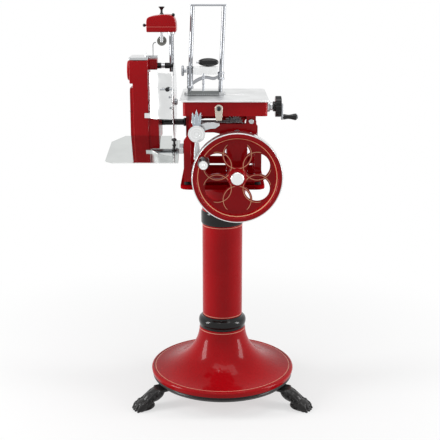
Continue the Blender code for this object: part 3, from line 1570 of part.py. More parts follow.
def build_sharpener(swivel, head):
    """Post that turns in its bracket, and the sharpener that slides on it."""
    post = rod(
        "sharpener_post",
        SHARP_POST_R,
        SHARP_POST_TOP_Z - SHARP_POST_BOTTOM_Z,
        (SHARP_POST_X, SHARP_POST_Y, SHARP_POST_BOTTOM_Z),
        chamfer=CASTING_INSET,
    )
    dress(post, "chrome", swivel)
    start = UPPER_ARM_RIGHT_X + SEAT
    end = SHARP_POST_X + SHARP_POST_R
    bracket = rod(
        "post_bracket",
        BRACKET_ROD_R,
        end - start,
        (start, SHARP_POST_Y, BRACKET_ROD_Z),
        "X",
    )
    hole = rod(
        "post_hole",
        SHARP_POST_R + RUN,
        2 * (BRACKET_ROD_R + OVERRUN),
        (SHARP_POST_X, SHARP_POST_Y, BRACKET_ROD_Z - BRACKET_ROD_R - OVERRUN),
    )
    cut(bracket, hole)
    dress(bracket, "black_iron", ROOT)

    left = SHARP_POST_X - COVER_LEFT
    right = SHARP_POST_X + COVER_RIGHT
    top = COVER_BOTTOM_Z + COVER_H
    shoulder = COVER_BOTTOM_Z + COVER_SHOULDER_H

    def shape(inset, low):
        return [
            (left + inset, low),
            (right - inset, low),
            (right - inset, shoulder - inset - COVER_RIGHT / 2),
            (right - inset - COVER_RIGHT / 3, top - inset),
            (left + inset + COVER_RIGHT, top - inset),
            (left + inset, shoulder - inset),
        ]

    cover = slab(
        "sharpener_cover",
        [shape(0, COVER_BOTTOM_Z)],
        2 * COVER_HALF_D,
        (0, SHARP_POST_Y, 0),
    )
    round_edges(cover, COVER_EDGE, 1)
    inside = slab(
        "cover_inside",
        [shape(COVER_WALL, COVER_BOTTOM_Z - OVERRUN)],
        2 * (COVER_HALF_D - COVER_WALL),
        (0, SHARP_POST_Y, 0),
    )
    crown_bore = rod(
        "crown_bore",
        SHARP_POST_R + RUN,
        COVER_H / 2 + OVERRUN,
        (SHARP_POST_X, SHARP_POST_Y, COVER_BOTTOM_Z + COVER_H / 2),
    )
    cut(cover, inside, crown_bore)
    dress(cover, "red_enamel", head)

    plate_z = COVER_BOTTOM_Z + SLIDE
    plate_half_d = COVER_HALF_D - COVER_WALL - SLIDE
    frame = box(
        "sharpener_head",
        (left + COVER_WALL + SLIDE, SHARP_POST_Y - plate_half_d, plate_z),
        (right - COVER_WALL - SLIDE, SHARP_POST_Y + plate_half_d, plate_z + HEAD_PLATE_T),
    )
    sleeve = rod(
        "head_sleeve",
        HEAD_SLEEVE_R,
        HEAD_SLEEVE_H,
        (SHARP_POST_X, SHARP_POST_Y, plate_z + HEAD_PLATE_T - HEAD_SLEEVE_H / 2),
    )
    stone_x = STONE_X
    stone_y = SHARP_POST_Y - (BLADE_X - SHARP_POST_X)
    fuse(frame, sleeve)
    for side, sign in (("front", -1), ("rear", 1)):
        inner_y = stone_y + sign * STONE_GAP / 2
        outer_y = inner_y + sign * (STONE_T + SEAT)
        far_y = outer_y + sign * STONE_HANGER_T
        hanger = box(
            f"hanger_{side}",
            (
                stone_x - STONE_HANGER_W / 2,
                min(outer_y, far_y),
                STONE_AXLE_Z - STONE_HANGER_W / 2,
            ),
            (
                stone_x + STONE_HANGER_W / 2,
                max(outer_y, far_y),
                plate_z + HEAD_PLATE_T / 2,
            ),
        )
        fuse(frame, hanger)
        axis = "Y" if sign > 0 else "-Y"
        stone = rod(
            f"grinding_stone_{side}",
            STONE_R,
            STONE_T,
            (stone_x, inner_y, STONE_AXLE_Z),
            axis,
            chamfer=CASTING_INSET,
        )
        dress(stone, "stone", head)
    bore = rod(
        "head_bore",
        SHARP_POST_R + RUN,
        HEAD_SLEEVE_H + 2 * OVERRUN,
        (
            SHARP_POST_X,
            SHARP_POST_Y,
            plate_z + HEAD_PLATE_T - HEAD_SLEEVE_H / 2 - OVERRUN,
        ),
    )
    cut(frame, bore)
    dress(frame, "aluminium", head)

    knob = turned(
        "sharpener_knob",
        scaled(TOP_KNOB_SHARES, TOP_KNOB_R, TOP_KNOB_H),
        ((left + right) / 2, SHARP_POST_Y, top + SEAT),
        steps=SMALL_STEPS,
    )
    dress(knob, "black_gloss", head)


def build_carriage(carriage, lever):
    """Apron box on its shoes, the table plate, the screw bearing and the lock lever."""
    outline = rounded(
        [
            (APRON_LEFT_X, APRON_FRONT_Y),
            (APRON_RIGHT_X, APRON_FRONT_Y),
            (APRON_RIGHT_X, APRON_REAR_Y),
            (APRON_LEFT_X, APRON_REAR_Y),
        ],
        APRON_CORNER_R,
    )
    inside = rounded(
        [
            (APRON_LEFT_X + APRON_WALL, APRON_FRONT_Y + APRON_WALL),
            (APRON_RIGHT_X - APRON_WALL, APRON_FRONT_Y + APRON_WALL),
            (APRON_RIGHT_X - APRON_WALL, APRON_REAR_Y - APRON_WALL),
            (APRON_LEFT_X + APRON_WALL, APRON_REAR_Y - APRON_WALL),
        ],
        APRON_CORNER_R - APRON_WALL,
    )
    height = APRON_TOP_Z - APRON_BOTTOM_Z
    body = slab(
        "carriage_body", [outline, inside], height, (0, 0, APRON_BOTTOM_Z + height / 2), "Z"
    )
    shoe_z = RAIL_Z + SLIDE
    rib_z = APRON_BOTTOM_Z + CASTING_INSET
    for end, y in (("front", RIB_FRONT_Y), ("rear", RIB_REAR_Y)):
        rib = box(
            f"rib_{end}",
            (APRON_LEFT_X + APRON_WALL / 2, y - RIB_T / 2, rib_z),
            (APRON_RIGHT_X - APRON_WALL / 2, y + RIB_T / 2, APRON_TOP_Z - CASTING_INSET),
        )
        fuse(body, rib)
        for side, sign in (("left", -1), ("right", 1)):
            shoe = box(
                f"shoe_{side}_{end}",
                (sign * RAIL_X - SHOE_HALF_W, y - SHOE_L / 2, shoe_z),
                (sign * RAIL_X + SHOE_HALF_W, y + SHOE_L / 2, APRON_TOP_Z - 2 * CASTING_INSET),
            )
            fuse(body, shoe)
    for side, sign in (("left", -1), ("right", 1)):
        groove = rod(
            f"shoe_groove_{side}",
            RAIL_R + SLIDE,
            APRON_REAR_Y - APRON_FRONT_Y,
            (sign * RAIL_X, APRON_FRONT_Y, RAIL_Z),
            "Y",
        )
        cut(body, groove)
    screw_bore = rod(
        "screw_bore",
        FEED_R + RUN,
        APRON_RIGHT_X - APRON_LEFT_X + 2 * OVERRUN,
        (APRON_LEFT_X - OVERRUN, FEED_Y, FEED_Z),
        "X",
    )
    cut(body, screw_bore)
    dress(body, "red_enamel", carriage)

    corners = [
        (TABLE_LEFT_X, TABLE_FRONT_Y),
        (TABLE_RIGHT_X, TABLE_FRONT_Y),
        (TABLE_RIGHT_X, TABLE_REAR_Y - TABLE_CHAMFER),
        (TABLE_RIGHT_X - TABLE_CHAMFER / 3, TABLE_REAR_Y),
        (TABLE_LEFT_X, TABLE_REAR_Y),
    ]
    slot_left = CLAMP_X - NECK_HALF_L - SLIDE
    slot_right = CLAMP_X + NECK_HALF_L + FEED_TRAVEL + SLIDE
    slot_half_w = NECK_HALF_W + SLIDE
    slot = [
        (slot_left, CLAMP_Y - slot_half_w),
        (slot_right, CLAMP_Y - slot_half_w),
        (slot_right, CLAMP_Y + slot_half_w),
        (slot_left, CLAMP_Y + slot_half_w),
    ]
    table = slab(
        "table_plate",
        [rounded(corners, TABLE_CORNER_R, 3), slot],
        TABLE_T,
        (0, 0, TABLE_TOP_Z - TABLE_T / 2),
        "Z",
    )
    dress(table, "aluminium", carriage)

    bearing_x = APRON_RIGHT_X + SEAT
    bearing = turned(
        "feed_bearing",
        [
            (FEED_R + RUN, FEED_BEARING_L),
            (FEED_NECK_R, FEED_BEARING_L),
            (FEED_NECK_R, FEED_BEARING_L / 2),
            (FEED_BEARING_R, FEED_BEARING_L / 2),
            (FEED_BEARING_R, 0),
            (FEED_R + RUN, 0),
        ],
        (bearing_x, FEED_Y, FEED_Z),
        "X",
        SMALL_STEPS,
        ring=True,
    )
    dress(bearing, "aluminium", carriage)

    half = LEVER_W / 2
    round_z = LEVER_TOP_Z - half
    outline = [(LEVER_X - half, LEVER_BOTTOM_Z), (LEVER_X + half, LEVER_BOTTOM_Z)]
    outline += arc((LEVER_X, round_z), half, 0, math.pi, 2 * ARC_STEPS)
    back_y = APRON_FRONT_Y - SLIDE
    plate = slab("lock_lever", [outline], LEVER_T, (0, back_y - LEVER_T / 2, 0))
    knob = turned(
        "lever_knob",
        [
            *scaled(LEVER_KNOB_SHARES, LEVER_KNOB_R, LEVER_KNOB_H),
            (LEVER_KNOB_R / 2, -LEVER_T / 2),
            (0, -LEVER_T / 2),
        ],
        (LEVER_X, back_y - LEVER_T, round_z),
        "-Y",
        SMALL_STEPS,
    )
    fuse(plate, knob)
    dress(plate, "aluminium", lever)


def build_feed(screw_turn, grip_turn):
    """Feed screw with its fluted wheel, and the crank with its turning grip."""
    start = APRON_LEFT_X
    wheel_x = APRON_RIGHT_X + SEAT + FEED_BEARING_L + WHEEL_GAP
    wheel_end = wheel_x + WHEEL_HUB_L + WHEEL_T
    crank_x = wheel_end + SEAT
    screw = rod(
        "feed_screw", FEED_R, crank_x - SEAT - start, (start, FEED_Y, FEED_Z), "X"
    )
    dress(screw, "steel", screw_turn)

    wheel = turned(
        "index_wheel",
        [
            (FEED_R + SEAT, WHEEL_HUB_L + WHEEL_T),
            (WHEEL_R - CASTING_INSET, WHEEL_HUB_L + WHEEL_T),
            (WHEEL_R, WHEEL_HUB_L + WHEEL_T - CASTING_INSET),
            (WHEEL_R, WHEEL_HUB_L + CASTING_INSET),
            (WHEEL_R - CASTING_INSET, WHEEL_HUB_L),
            (WHEEL_HUB_R, WHEEL_HUB_L),
            (WHEEL_HUB_R, 0),
            (FEED_R + SEAT, 0),
        ],
        (wheel_x, FEED_Y, FEED_Z),
        "X",
        2 * WHEEL_FLUTES,
        ring=True,
    )
    for i in range(WHEEL_FLUTES):
        angle = 2 * math.pi * (i + 1 / 2) / WHEEL_FLUTES
        flute = rod(
            f"flute_{i + 1}",
            FLUTE_R,
            WHEEL_T + 2 * OVERRUN,
            (
                wheel_x + WHEEL_HUB_L - OVERRUN,
                FEED_Y + (WHEEL_R + FLUTE_R / 3) * math.cos(angle),
                FEED_Z + (WHEEL_R + FLUTE_R / 3) * math.sin(angle),
            ),
            "X",
            8,
        )
        cut(wheel, flute)
    dress(wheel, "black_paint", screw_turn)

    low = FEED_Z - CRANK_DROP
    outline = arc((FEED_Y, FEED_Z), CRANK_END_R, 0, math.pi)
    outline += arc((FEED_Y, low), CRANK_END_R, math.pi, 2 * math.pi)
    crank = slab("feed_crank", [outline], CRANK_T, (crank_x + CRANK_T / 2, 0, 0), "X")
    pin_l = CRANK_T + CRANK_GRIP_L + 2 * WHEEL_GAP
    pin = turned(
        "crank_pin",
        [
            (0, pin_l + CRANK_PIN_HEAD_H),
            (CRANK_PIN_HEAD_R, pin_l + CRANK_PIN_HEAD_H),
            (CRANK_PIN_HEAD_R, pin_l),
            (CRANK_PIN_R, pin_l),
            (CRANK_PIN_R, CRANK_T / 2),
            (0, CRANK_T / 2),
        ],
        (crank_x, FEED_Y, low),
        "X",
        SMALL_STEPS,
    )
    fuse(crank, pin)
    dress(crank, "chrome", screw_turn)

    bore = CRANK_PIN_R + RUN
    grip = turned(
        "feed_crank_grip",
        [
            (bore, CRANK_GRIP_L),
            (CRANK_PIN_HEAD_R, CRANK_GRIP_L),
            *scaled(CRANK_GRIP_SHARES, CRANK_GRIP_R, CRANK_GRIP_L),
            (bore, 0),
        ],
        (crank_x + CRANK_T + WHEEL_GAP, FEED_Y, low),
        "X",
        SMALL_STEPS,
        ring=True,
    )
    dress(grip, "black_gloss", grip_turn)


def build_clamp(feed):
    """Clamp base with its nut under the table, two leaning posts and a crossbar."""
    outline = rounded(
        [
            (CLAMP_X - CLAMP_HALF_L, CLAMP_Y - CLAMP_HALF_W),
            (CLAMP_X + CLAMP_HALF_L, CLAMP_Y - CLAMP_HALF_W),
            (CLAMP_X + CLAMP_HALF_L, CLAMP_Y + CLAMP_HALF_W),
            (CLAMP_X - CLAMP_HALF_L, CLAMP_Y + CLAMP_HALF_W),
        ],
        CLAMP_CORNER_R,
        2,
    )
    base = slab("clamp_base", [outline], CLAMP_T, (0, 0, CLAMP_BASE_Z + CLAMP_T / 2), "Z")
    nut_r = FEED_R + NUT_WALL
    arm_low = FEED_Z - nut_r
    neck = box(
        "clamp_neck",
        (CLAMP_X - NECK_HALF_L, CLAMP_Y - NECK_HALF_W, arm_low + CASTING_INSET),
        (CLAMP_X + NECK_HALF_L, CLAMP_Y + NECK_HALF_W, CLAMP_BASE_Z + CLAMP_T / 2),
    )
    arm = box(
        "feed_arm",
        (CLAMP_X - NECK_HALF_L, FEED_Y - nut_r, arm_low),
        (CLAMP_X + NECK_HALF_L, CLAMP_Y + NECK_HALF_W + CASTING_INSET, arm_low + ARM_T),
    )
    bore = rod(
        "nut_bore",
        FEED_R + RUN,
        2 * (NECK_HALF_L + OVERRUN),
        (CLAMP_X - NECK_HALF_L - OVERRUN, FEED_Y, FEED_Z),
        "X",
    )
    fuse(base, neck, arm)
    cut(base, bore)
    dress(base, "aluminium", feed)

    start_z = POST_FOOT_Z + SEAT + POST_R * math.sin(POST_LEAN)
    rise = POST_TOP_Z - start_z - POST_R * math.sin(POST_LEAN)
    for side, sign in (("left", -1), ("right", 1)):
        place = (CLAMP_X + sign * POST_SPACING / 2, CLAMP_Y, start_z)
        post = rod(f"clamp_post_{side}", POST_R, rise / math.cos(POST_LEAN), place)
        post.rotation_euler = (0.0, POST_LEAN, 0.0)
        dress(post, "chrome", feed)
    top_x = CLAMP_X + rise * math.tan(POST_LEAN)
    half_l = POST_SPACING / 2 + CROSSBAR_OVERHANG
    crossbar = box(
        "clamp_crossbar",
        (top_x - half_l, CLAMP_Y - CROSSBAR_W / 2, TOTAL_H - CROSSBAR_H),
        (top_x + half_l, CLAMP_Y + CROSSBAR_W / 2, TOTAL_H),
        CASTING_INSET,
    )
    dress(crossbar, "chrome", feed)


def press_frame():
    """Upright frame of the press, centred between the posts at its own height."""
    shift = PRESS_LEFT_TOP / 2 * math.tan(POST_LEAN)
    return Matrix.Translation((CLAMP_X + shift, CLAMP_Y, POST_FOOT_Z))


def lean_frame():
    """Frame of the posts: its Z runs up between them from the clamp base."""
    start = Vector((CLAMP_X, CLAMP_Y, POST_FOOT_Z))
    return Matrix.Translation(start) @ Matrix.Rotation(POST_LEAN, 4, "Y")


def build_press(press, knob_turn):
    """Press yoke with its teeth, its oval handle and its clamp knob."""
    frame = press_frame()
    half = POST_SPACING / 2
    web = [(u * half, v * PRESS_LEFT_TOP) for u, v in YOKE_OUTLINE_SHARES]
    yoke = slab("press_yoke", [web], YOKE_T, (0, 0, 0))
    left_sleeve = rod(
        "sleeve_left", PRESS_SLEEVE_R, PRESS_LEFT_TOP - PRESS_LEFT_BOTTOM,
        (-half, 0, PRESS_LEFT_BOTTOM),
    )
    right_sleeve = rod(
        "sleeve_right", PRESS_SLEEVE_R, PRESS_RIGHT_TOP - PRESS_RIGHT_BOTTOM,
        (half, 0, PRESS_RIGHT_BOTTOM),
    )
    shield = box(
        "shield",
        (-SHIELD_HALF_L, -SHIELD_T, SHIELD_BOTTOM),
        (SHIELD_HALF_L, 0, SHIELD_TOP),
        CASTING_INSET,
    )
    tooth = (TEETH_BAR_RIGHT - TEETH_BAR_LEFT) / TEETH_COUNT
    low = PRESS_REST_GAP - CLAMP_T
    bar = [(TEETH_BAR_RIGHT, TEETH_BAR_TOP), (TEETH_BAR_LEFT, TEETH_BAR_TOP)]
    for i in range(TEETH_COUNT):
        start = TEETH_BAR_LEFT + i * tooth
        root_z = low + TEETH_DEPTH + TEETH_BOW * math.sin(math.pi * i / TEETH_COUNT)
        bar += [
            (start, root_z),
            (start + tooth * TOOTH_TIP_SHARE, low),
            (start + tooth * (1 - TOOTH_TIP_SHARE), low),
        ]
    bar.append((TEETH_BAR_RIGHT, low + TEETH_DEPTH))
    bar_y = TEETH_BAR_FRONT + TEETH_BAR_T / 2
    teeth = slab("teeth_bar", [bar], TEETH_BAR_T, (0, bar_y, 0))
    knee_z = TEETH_BAR_TOP - TEETH_DEPTH / 2
    link = slab(
        "teeth_link",
        [
            [
                (TEETH_BAR_FRONT + CASTING_INSET, knee_z - TEETH_DEPTH / 3),
                (bar_y + TEETH_BAR_T / 4, knee_z - TEETH_DEPTH / 3),
                (bar_y + TEETH_BAR_T / 4, knee_z + TEETH_DEPTH),
                (YOKE_T / 4, SHIELD_BOTTOM - YOKE_T),
                (YOKE_T / 4, SHIELD_BOTTOM - YOKE_T / 4),
                (-YOKE_T / 2, SHIELD_BOTTOM - YOKE_T / 4),
                (TEETH_BAR_FRONT + CASTING_INSET, knee_z + 2 * TEETH_DEPTH),
            ]
        ],
        TEETH_LINK_W,
        (0, 0, 0),
        "X",
    )
    for tool in (left_sleeve, right_sleeve, link, shield, teeth):
        fuse(yoke, tilt(tool, frame))
    for side, sign in (("left", -1), ("right", 1)):
        bore = rod(
            f"press_bore_{side}", POST_R + RUN, PRESS_LEFT_TOP + OVERRUN, (sign * half, 0, 0)
        )
        cut(yoke, tilt(bore, lean_frame()))
    dress(tilt(yoke, frame), "chrome", press)

    handle_z = SHIELD_TOP + SEAT + HANDLE_R
    handle = ball(
        "press_handle", (HANDLE_HALF_L, HANDLE_R, HANDLE_R), (HANDLE_X, -SHIELD_T / 2, handle_z)
    )
    stem = rod(
        "handle_stem",
        HANDLE_STEM_R,
        handle_z - SHIELD_TOP - SEAT,
        (HANDLE_X, -SHIELD_T / 2, SHIELD_TOP + SEAT),
    )
    fuse(handle, tilt(stem, frame))
    dress(tilt(handle, frame), "black_gloss", press)

    knob_z = PRESS_LEFT_TOP - PRESS_KNOB_DROP
    knob = turned(
        "press_knob",
        [
            (0, PRESS_KNOB_STEM_L + PRESS_KNOB_T),
            (PRESS_KNOB_R * KNOB_FACE_SHARE, PRESS_KNOB_STEM_L + PRESS_KNOB_T),
            (PRESS_KNOB_R, PRESS_KNOB_STEM_L + PRESS_KNOB_T * (1 - KNOB_EDGE_SHARE)),
            (PRESS_KNOB_R, PRESS_KNOB_STEM_L + PRESS_KNOB_T * KNOB_EDGE_SHARE),
            (PRESS_KNOB_R * KNOB_FACE_SHARE, PRESS_KNOB_STEM_L),
            (PRESS_KNOB_STEM_R, PRESS_KNOB_STEM_L),
            (PRESS_KNOB_STEM_R, 0),
            (0, 0),
        ],
        (-half - PRESS_SLEEVE_R - SEAT, 0, knob_z),
        "-X",
        SMALL_STEPS,
    )
    dress(tilt(knob, frame), "chrome", knob_turn)


def build_dial(dial):
    """Thickness dial on a cast bracket with a fan of three pointed lobes."""
    back = FRAME_FRONT_Y - SEAT
    stalk = [
        (DIAL_X - STALK_W / 2, STALK_BOTTOM_Z),
        (DIAL_X + STALK_W / 2, STALK_BOTTOM_Z),
        (DIAL_X + STALK_W / 2, STALK_NECK_Z - STALK_W),
        (DIAL_X + STALK_NECK_W / 2, STALK_NECK_Z),
        (DIAL_X + STALK_NECK_W, DIAL_Z),
        (DIAL_X - STALK_NECK_W, DIAL_Z),
        (DIAL_X - STALK_NECK_W / 2, STALK_NECK_Z),
        (DIAL_X - STALK_W / 2, STALK_NECK_Z - STALK_W),
    ]
    bracket = slab("dial_bracket", [stalk], BRACKET_T, (0, back - BRACKET_T / 2, 0))
    length = INDEX_ARM_RIGHT_X - DIAL_X
    arm_outline = [
        (DIAL_X + u * length, INDEX_ARM_Z - CASTING_INSET + v * INDEX_ARM_H)
        for u, v in INDEX_ARM_SHARES
    ]
    arm = slab(
        "index_arm", [arm_outline], INDEX_ARM_T,
        (0, back - CASTING_INSET - INDEX_ARM_T / 2, 0),
    )
    boss = rod(
        "dial_boss", STALK_W, back - FAN_FRONT_Y, (DIAL_X, back, DIAL_Z), "-Y"
    )
    fuse(bracket, boss, arm)
    for i in range(FAN_LOBES):
        lean = (i - (FAN_LOBES - 1) / 2) * FAN_SPREAD
        reach = FAN_LOBE_L * (1 if i == FAN_LOBES // 2 else FAN_SIDE_SHARE)
        lobe = [
            (-FAN_LOBE_W / 2, 0),
            (FAN_LOBE_W / 2, 0),
            (FAN_LOBE_W / 2, reach * FAN_WAIST_SHARE),
            (FAN_LOBE_W * FAN_TIP_SHARE, reach),
            (-FAN_LOBE_W * FAN_TIP_SHARE, reach),
            (-FAN_LOBE_W / 2, reach * FAN_WAIST_SHARE),
        ]
        depth = FAN_T - (CASTING_INSET if i != FAN_LOBES // 2 else 0)
        shape = slab(f"fan_lobe_{i + 1}", [lobe], depth, (0, 0, 0))
        seat = Matrix.Translation((DIAL_X, FAN_FRONT_Y + FAN_T / 2, DIAL_Z))
        fuse(bracket, tilt(shape, seat @ Matrix.Rotation(lean, 4, "Y")))
    dress(bracket, "aluminium", ROOT)

    dial_y = FAN_FRONT_Y - SEAT
    face = turned(
        "thickness_dial",
        scaled(DIAL_SHARES, DIAL_R, DIAL_T),
        (DIAL_X, dial_y, DIAL_Z),
        "-Y",
        ROUND_STEPS,
    )
    dress(face, "aluminium", dial)


def build_all():
    """Build every piece and hang the moving ones on their joints' empties."""
    build_foot("foot_left", math.pi + FOOT_FORWARD)
    build_foot("foot_right", -FOOT_FORWARD)
    build_foot("foot_rear", math.pi / 2)
    build_base()
    build_column()
    build_machine_feet()
    build_machine_base()
    build_rails()

    wheel = joint_empty("flywheel_axis", (FLY_X, FLY_BACK_Y, FLY_Z), ROOT)
    pin_place = build_flywheel(wheel)
    grip = joint_empty("crank_grip_axis", pin_place, wheel)
    build_crank_grip(grip, pin_place)
    idler = joint_empty("idler_axis", (FLY_X, GEAR_FRONT_Y, IDLER_Z), ROOT)
    upper = joint_empty("upper_shaft_axis", (FLY_X, GEAR_FRONT_Y, CROSS_Z), ROOT)
    cross = joint_empty("cross_shaft_axis", (FLY_X, CROSS_Y, CROSS_Z), ROOT)
    build_gear_train(wheel, idler, upper, cross)

    build_knife_casing()
    build_cross_sleeve()
    knife = joint_empty("knife_axis", (BLADE_X, 0, KNIFE_Z), ROOT)
    build_knife(knife)
    build_deflector()
    build_tray()
    post_place = (SHARP_POST_X, SHARP_POST_Y, SHARP_POST_BOTTOM_Z)
    swivel = joint_empty("sharpener_post_axis", post_place, ROOT)
    head = joint_empty(
        "sharpener_axis", (SHARP_POST_X, SHARP_POST_Y, COVER_BOTTOM_Z), swivel
    )
    build_sharpener(swivel, head)

    carriage = joint_empty("carriage_axis", (0, 0, RAIL_Z), ROOT)
    pivot = (LEVER_X, APRON_FRONT_Y, LEVER_BOTTOM_Z + LEVER_PIVOT_RISE)
    lever = joint_empty("lock_lever_axis", pivot, carriage)
    build_carriage(carriage, lever)
    screw_turn = joint_empty("feed_screw_axis", (APRON_RIGHT_X, FEED_Y, FEED_Z), carriage)
    grip_turn = joint_empty(
        "feed_crank_grip_axis", (APRON_RIGHT_X, FEED_Y, FEED_Z - CRANK_DROP), screw_turn
    )
    build_feed(screw_turn, grip_turn)
    feed = joint_empty("clamp_axis", (CLAMP_X, CLAMP_Y, CLAMP_BASE_Z), carriage)
    build_clamp(feed)
    press = joint_empty("press_axis", (CLAMP_X, CLAMP_Y, POST_FOOT_Z), feed)
    half = POST_SPACING / 2
    knob_place = press_frame() @ Vector(
        (-half - PRESS_SLEEVE_R, 0, PRESS_LEFT_TOP - PRESS_KNOB_DROP)
    )
    knob_turn = joint_empty("press_knob_axis", knob_place, press)
    build_press(press, knob_turn)
    dial = joint_empty("dial_axis", (DIAL_X, FAN_FRONT_Y, DIAL_Z), ROOT)
    build_dial(dial)


def centre_on_origin():
    """Move the part so that the origin is under the middle of its bounding box."""
    bpy.context.view_layer.update()
    graph = bpy.context.evaluated_depsgraph_get()
    corners = []
    for obj in bpy.data.collections[PART_NAME].objects:
        if obj.type == "MESH":
            solid = obj.evaluated_get(graph)
            corners += [solid.matrix_world @ v.co for v in solid.data.vertices]
    low = [min(c[i] for c in corners) for i in range(3)]
    high = [max(c[i] for c in corners) for i in range(3)]
    ROOT.location = (-(low[0] + high[0]) / 2, -(low[1] + high[1]) / 2, -low[2])
    bpy.context.view_layer.update()


clear_scene()
new_collection(PART_NAME)
new_collection("cutters")
ROOT = joint_empty("slicer_root", (0, 0, 0), None)
build_all()
centre_on_origin()
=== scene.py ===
"""Looks of the hand crank meat slicer: detailed pieces, finishes, studio and camera.

Metres, +Z up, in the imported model's own frame. A turned profile is a list of (radius, height)
pairs. Where a Seat turns it, the pairs are shares of the node's own radius and length.
"""

import logging
import math
from collections.abc import Callable, Iterator, Sequence
from contextlib import contextmanager
from dataclasses import dataclass
from enum import Enum

import bmesh
import bpy
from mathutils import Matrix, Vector

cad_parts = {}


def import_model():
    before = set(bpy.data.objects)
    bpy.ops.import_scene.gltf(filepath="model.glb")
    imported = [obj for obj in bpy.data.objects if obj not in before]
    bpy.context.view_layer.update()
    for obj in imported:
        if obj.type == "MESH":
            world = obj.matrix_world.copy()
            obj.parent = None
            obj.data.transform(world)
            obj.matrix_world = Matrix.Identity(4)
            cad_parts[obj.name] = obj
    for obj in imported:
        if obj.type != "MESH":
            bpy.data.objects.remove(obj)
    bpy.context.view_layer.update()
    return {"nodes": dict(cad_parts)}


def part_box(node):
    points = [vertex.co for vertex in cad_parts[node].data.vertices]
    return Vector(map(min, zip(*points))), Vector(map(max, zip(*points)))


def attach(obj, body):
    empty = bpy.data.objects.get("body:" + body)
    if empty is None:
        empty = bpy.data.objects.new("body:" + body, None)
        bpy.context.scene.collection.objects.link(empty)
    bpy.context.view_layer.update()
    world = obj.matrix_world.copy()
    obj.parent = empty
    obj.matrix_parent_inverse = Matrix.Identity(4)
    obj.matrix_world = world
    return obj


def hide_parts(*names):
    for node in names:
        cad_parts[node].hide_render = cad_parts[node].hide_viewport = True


Piece = bpy.types.Object
Socket = bpy.types.NodeSocket
Pair = tuple[float, float]
Triple = tuple[float, float, float]
Place = Sequence[float]
Profile = Sequence[Pair]
FaceTest = Callable[[Vector, Vector], bool]

LOG = logging.getLogger("meat_slicer")
ORIGIN = (0.0, 0.0, 0.0)
MERGE = 0.00002
CUTTER_DEPTH = 0.06
SMOOTH_ANGLE = math.radians(32.0)
ROUND_ANGLE = math.radians(35.0)
FLAT_ANGLE = math.radians(1.0)


class Axis(Enum):
    """Directions in which a turned piece may point, as the turn that aims its Z there."""

    X = (0.0, math.pi / 2, 0.0)
    LEFT = (0.0, -math.pi / 2, 0.0)
    BACK = (-math.pi / 2, 0.0, 0.0)
    FRONT = (math.pi / 2, 0.0, 0.0)
    UP = (0.0, 0.0, 0.0)


class Facing(Enum):
    """Planes in which a flat outline may stand, as the turn that lifts it from the floor."""

    FRONT = (math.pi / 2, 0.0, 0.0)
    TOP = (0.0, 0.0, 0.0)


class Body(str, Enum):
    """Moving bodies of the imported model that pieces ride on."""

    STAND = "stand"
    FLYWHEEL = "flywheel"
    GRIP = "crank_grip"
    KNIFE = "knife"
    POST = "sharpener_post"
    SHARPENER = "sharpener"
    CARRIAGE = "carriage"
    LEVER = "lock_lever"
    SCREW = "feed_screw"
    FEED_GRIP = "feed_crank_grip"
    CLAMP = "clamp"
    PRESS = "press"
    PRESS_KNOB = "press_knob"
    DIAL = "thickness_dial"


# ---------------------------------------------------------------- drawing and shaping


def clear_choice() -> None:
    """Leave edit mode and deselect every object."""
    if bpy.context.mode != "OBJECT":
        bpy.ops.object.mode_set(mode="OBJECT")
    bpy.ops.object.select_all(action="DESELECT")


def choose(*pieces: Piece) -> None:
    """Select some objects alone, the first one active."""
    clear_choice()
    for piece in pieces:
        piece.select_set(True)
    bpy.context.view_layer.objects.active = pieces[0]


@contextmanager
def editing(piece: Piece) -> Iterator[None]:
    """Hold a piece in edit mode with all of it selected."""
    choose(piece)
    bpy.ops.object.mode_set(mode="EDIT")
    bpy.ops.mesh.select_mode(type="VERT")
    bpy.ops.mesh.select_all(action="SELECT")
    yield
    bpy.ops.object.mode_set(mode="OBJECT")


def pick_faces(piece: Piece, test: FaceTest) -> None:
    """Select the faces of the piece in edit mode whose centre and normal pass a test.

    Args:
        piece: the piece in edit mode.
        test: says whether a face with this centre and normal is wanted.
    """
    bpy.ops.mesh.select_mode(type="FACE")
    bpy.ops.mesh.select_all(action="DESELECT")
    bm = bmesh.from_edit_mesh(piece.data)
    for face in bm.faces:
        face.select_set(bool(test(face.calc_center_median(), face.normal)))
    bmesh.update_edit_mesh(piece.data)


def pick_corners(piece: Piece, places: Sequence[Place]) -> None:
    """Select the corners of the piece in edit mode that lie at one of some places.

    Args:
        piece: the piece in edit mode.
        places: where the wanted corners lie.
    """
    bpy.ops.mesh.select_all(action="DESELECT")
    bm = bmesh.from_edit_mesh(piece.data)
    for corner in bm.verts:
        corner.select_set(any((corner.co - Vector(p)).length < MERGE for p in places))
    bm.select_flush(True)
    bmesh.update_edit_mesh(piece.data)


def settle(piece: Piece) -> Piece:
    """Write an object's place, turn and scale into its mesh."""
    choose(piece)
    bpy.ops.object.transform_apply(location=True, rotation=True, scale=True)
    return piece


def move(piece: Piece, place: Place, turn: Triple = ORIGIN) -> Piece:
    """Carry a piece from the origin to its place and turn."""
    piece.location, piece.rotation_euler = place, turn
    return settle(piece)


def added(name: str) -> Piece:
    """Name the primitive that was just added and settle it."""
    piece = bpy.context.object
    piece.name = name
    return settle(piece)


def tidy_mesh(piece: Piece, merge: float = MERGE) -> Piece:
    """Merge doubled corners and turn every face outwards.

    Args:
        piece: the piece.
        merge: distance within which corners become one.

    Returns:
        The piece.
    """
    with editing(piece):
        bpy.ops.mesh.remove_doubles(threshold=merge)
        bpy.ops.mesh.normals_make_consistent(inside=False)
    return piece


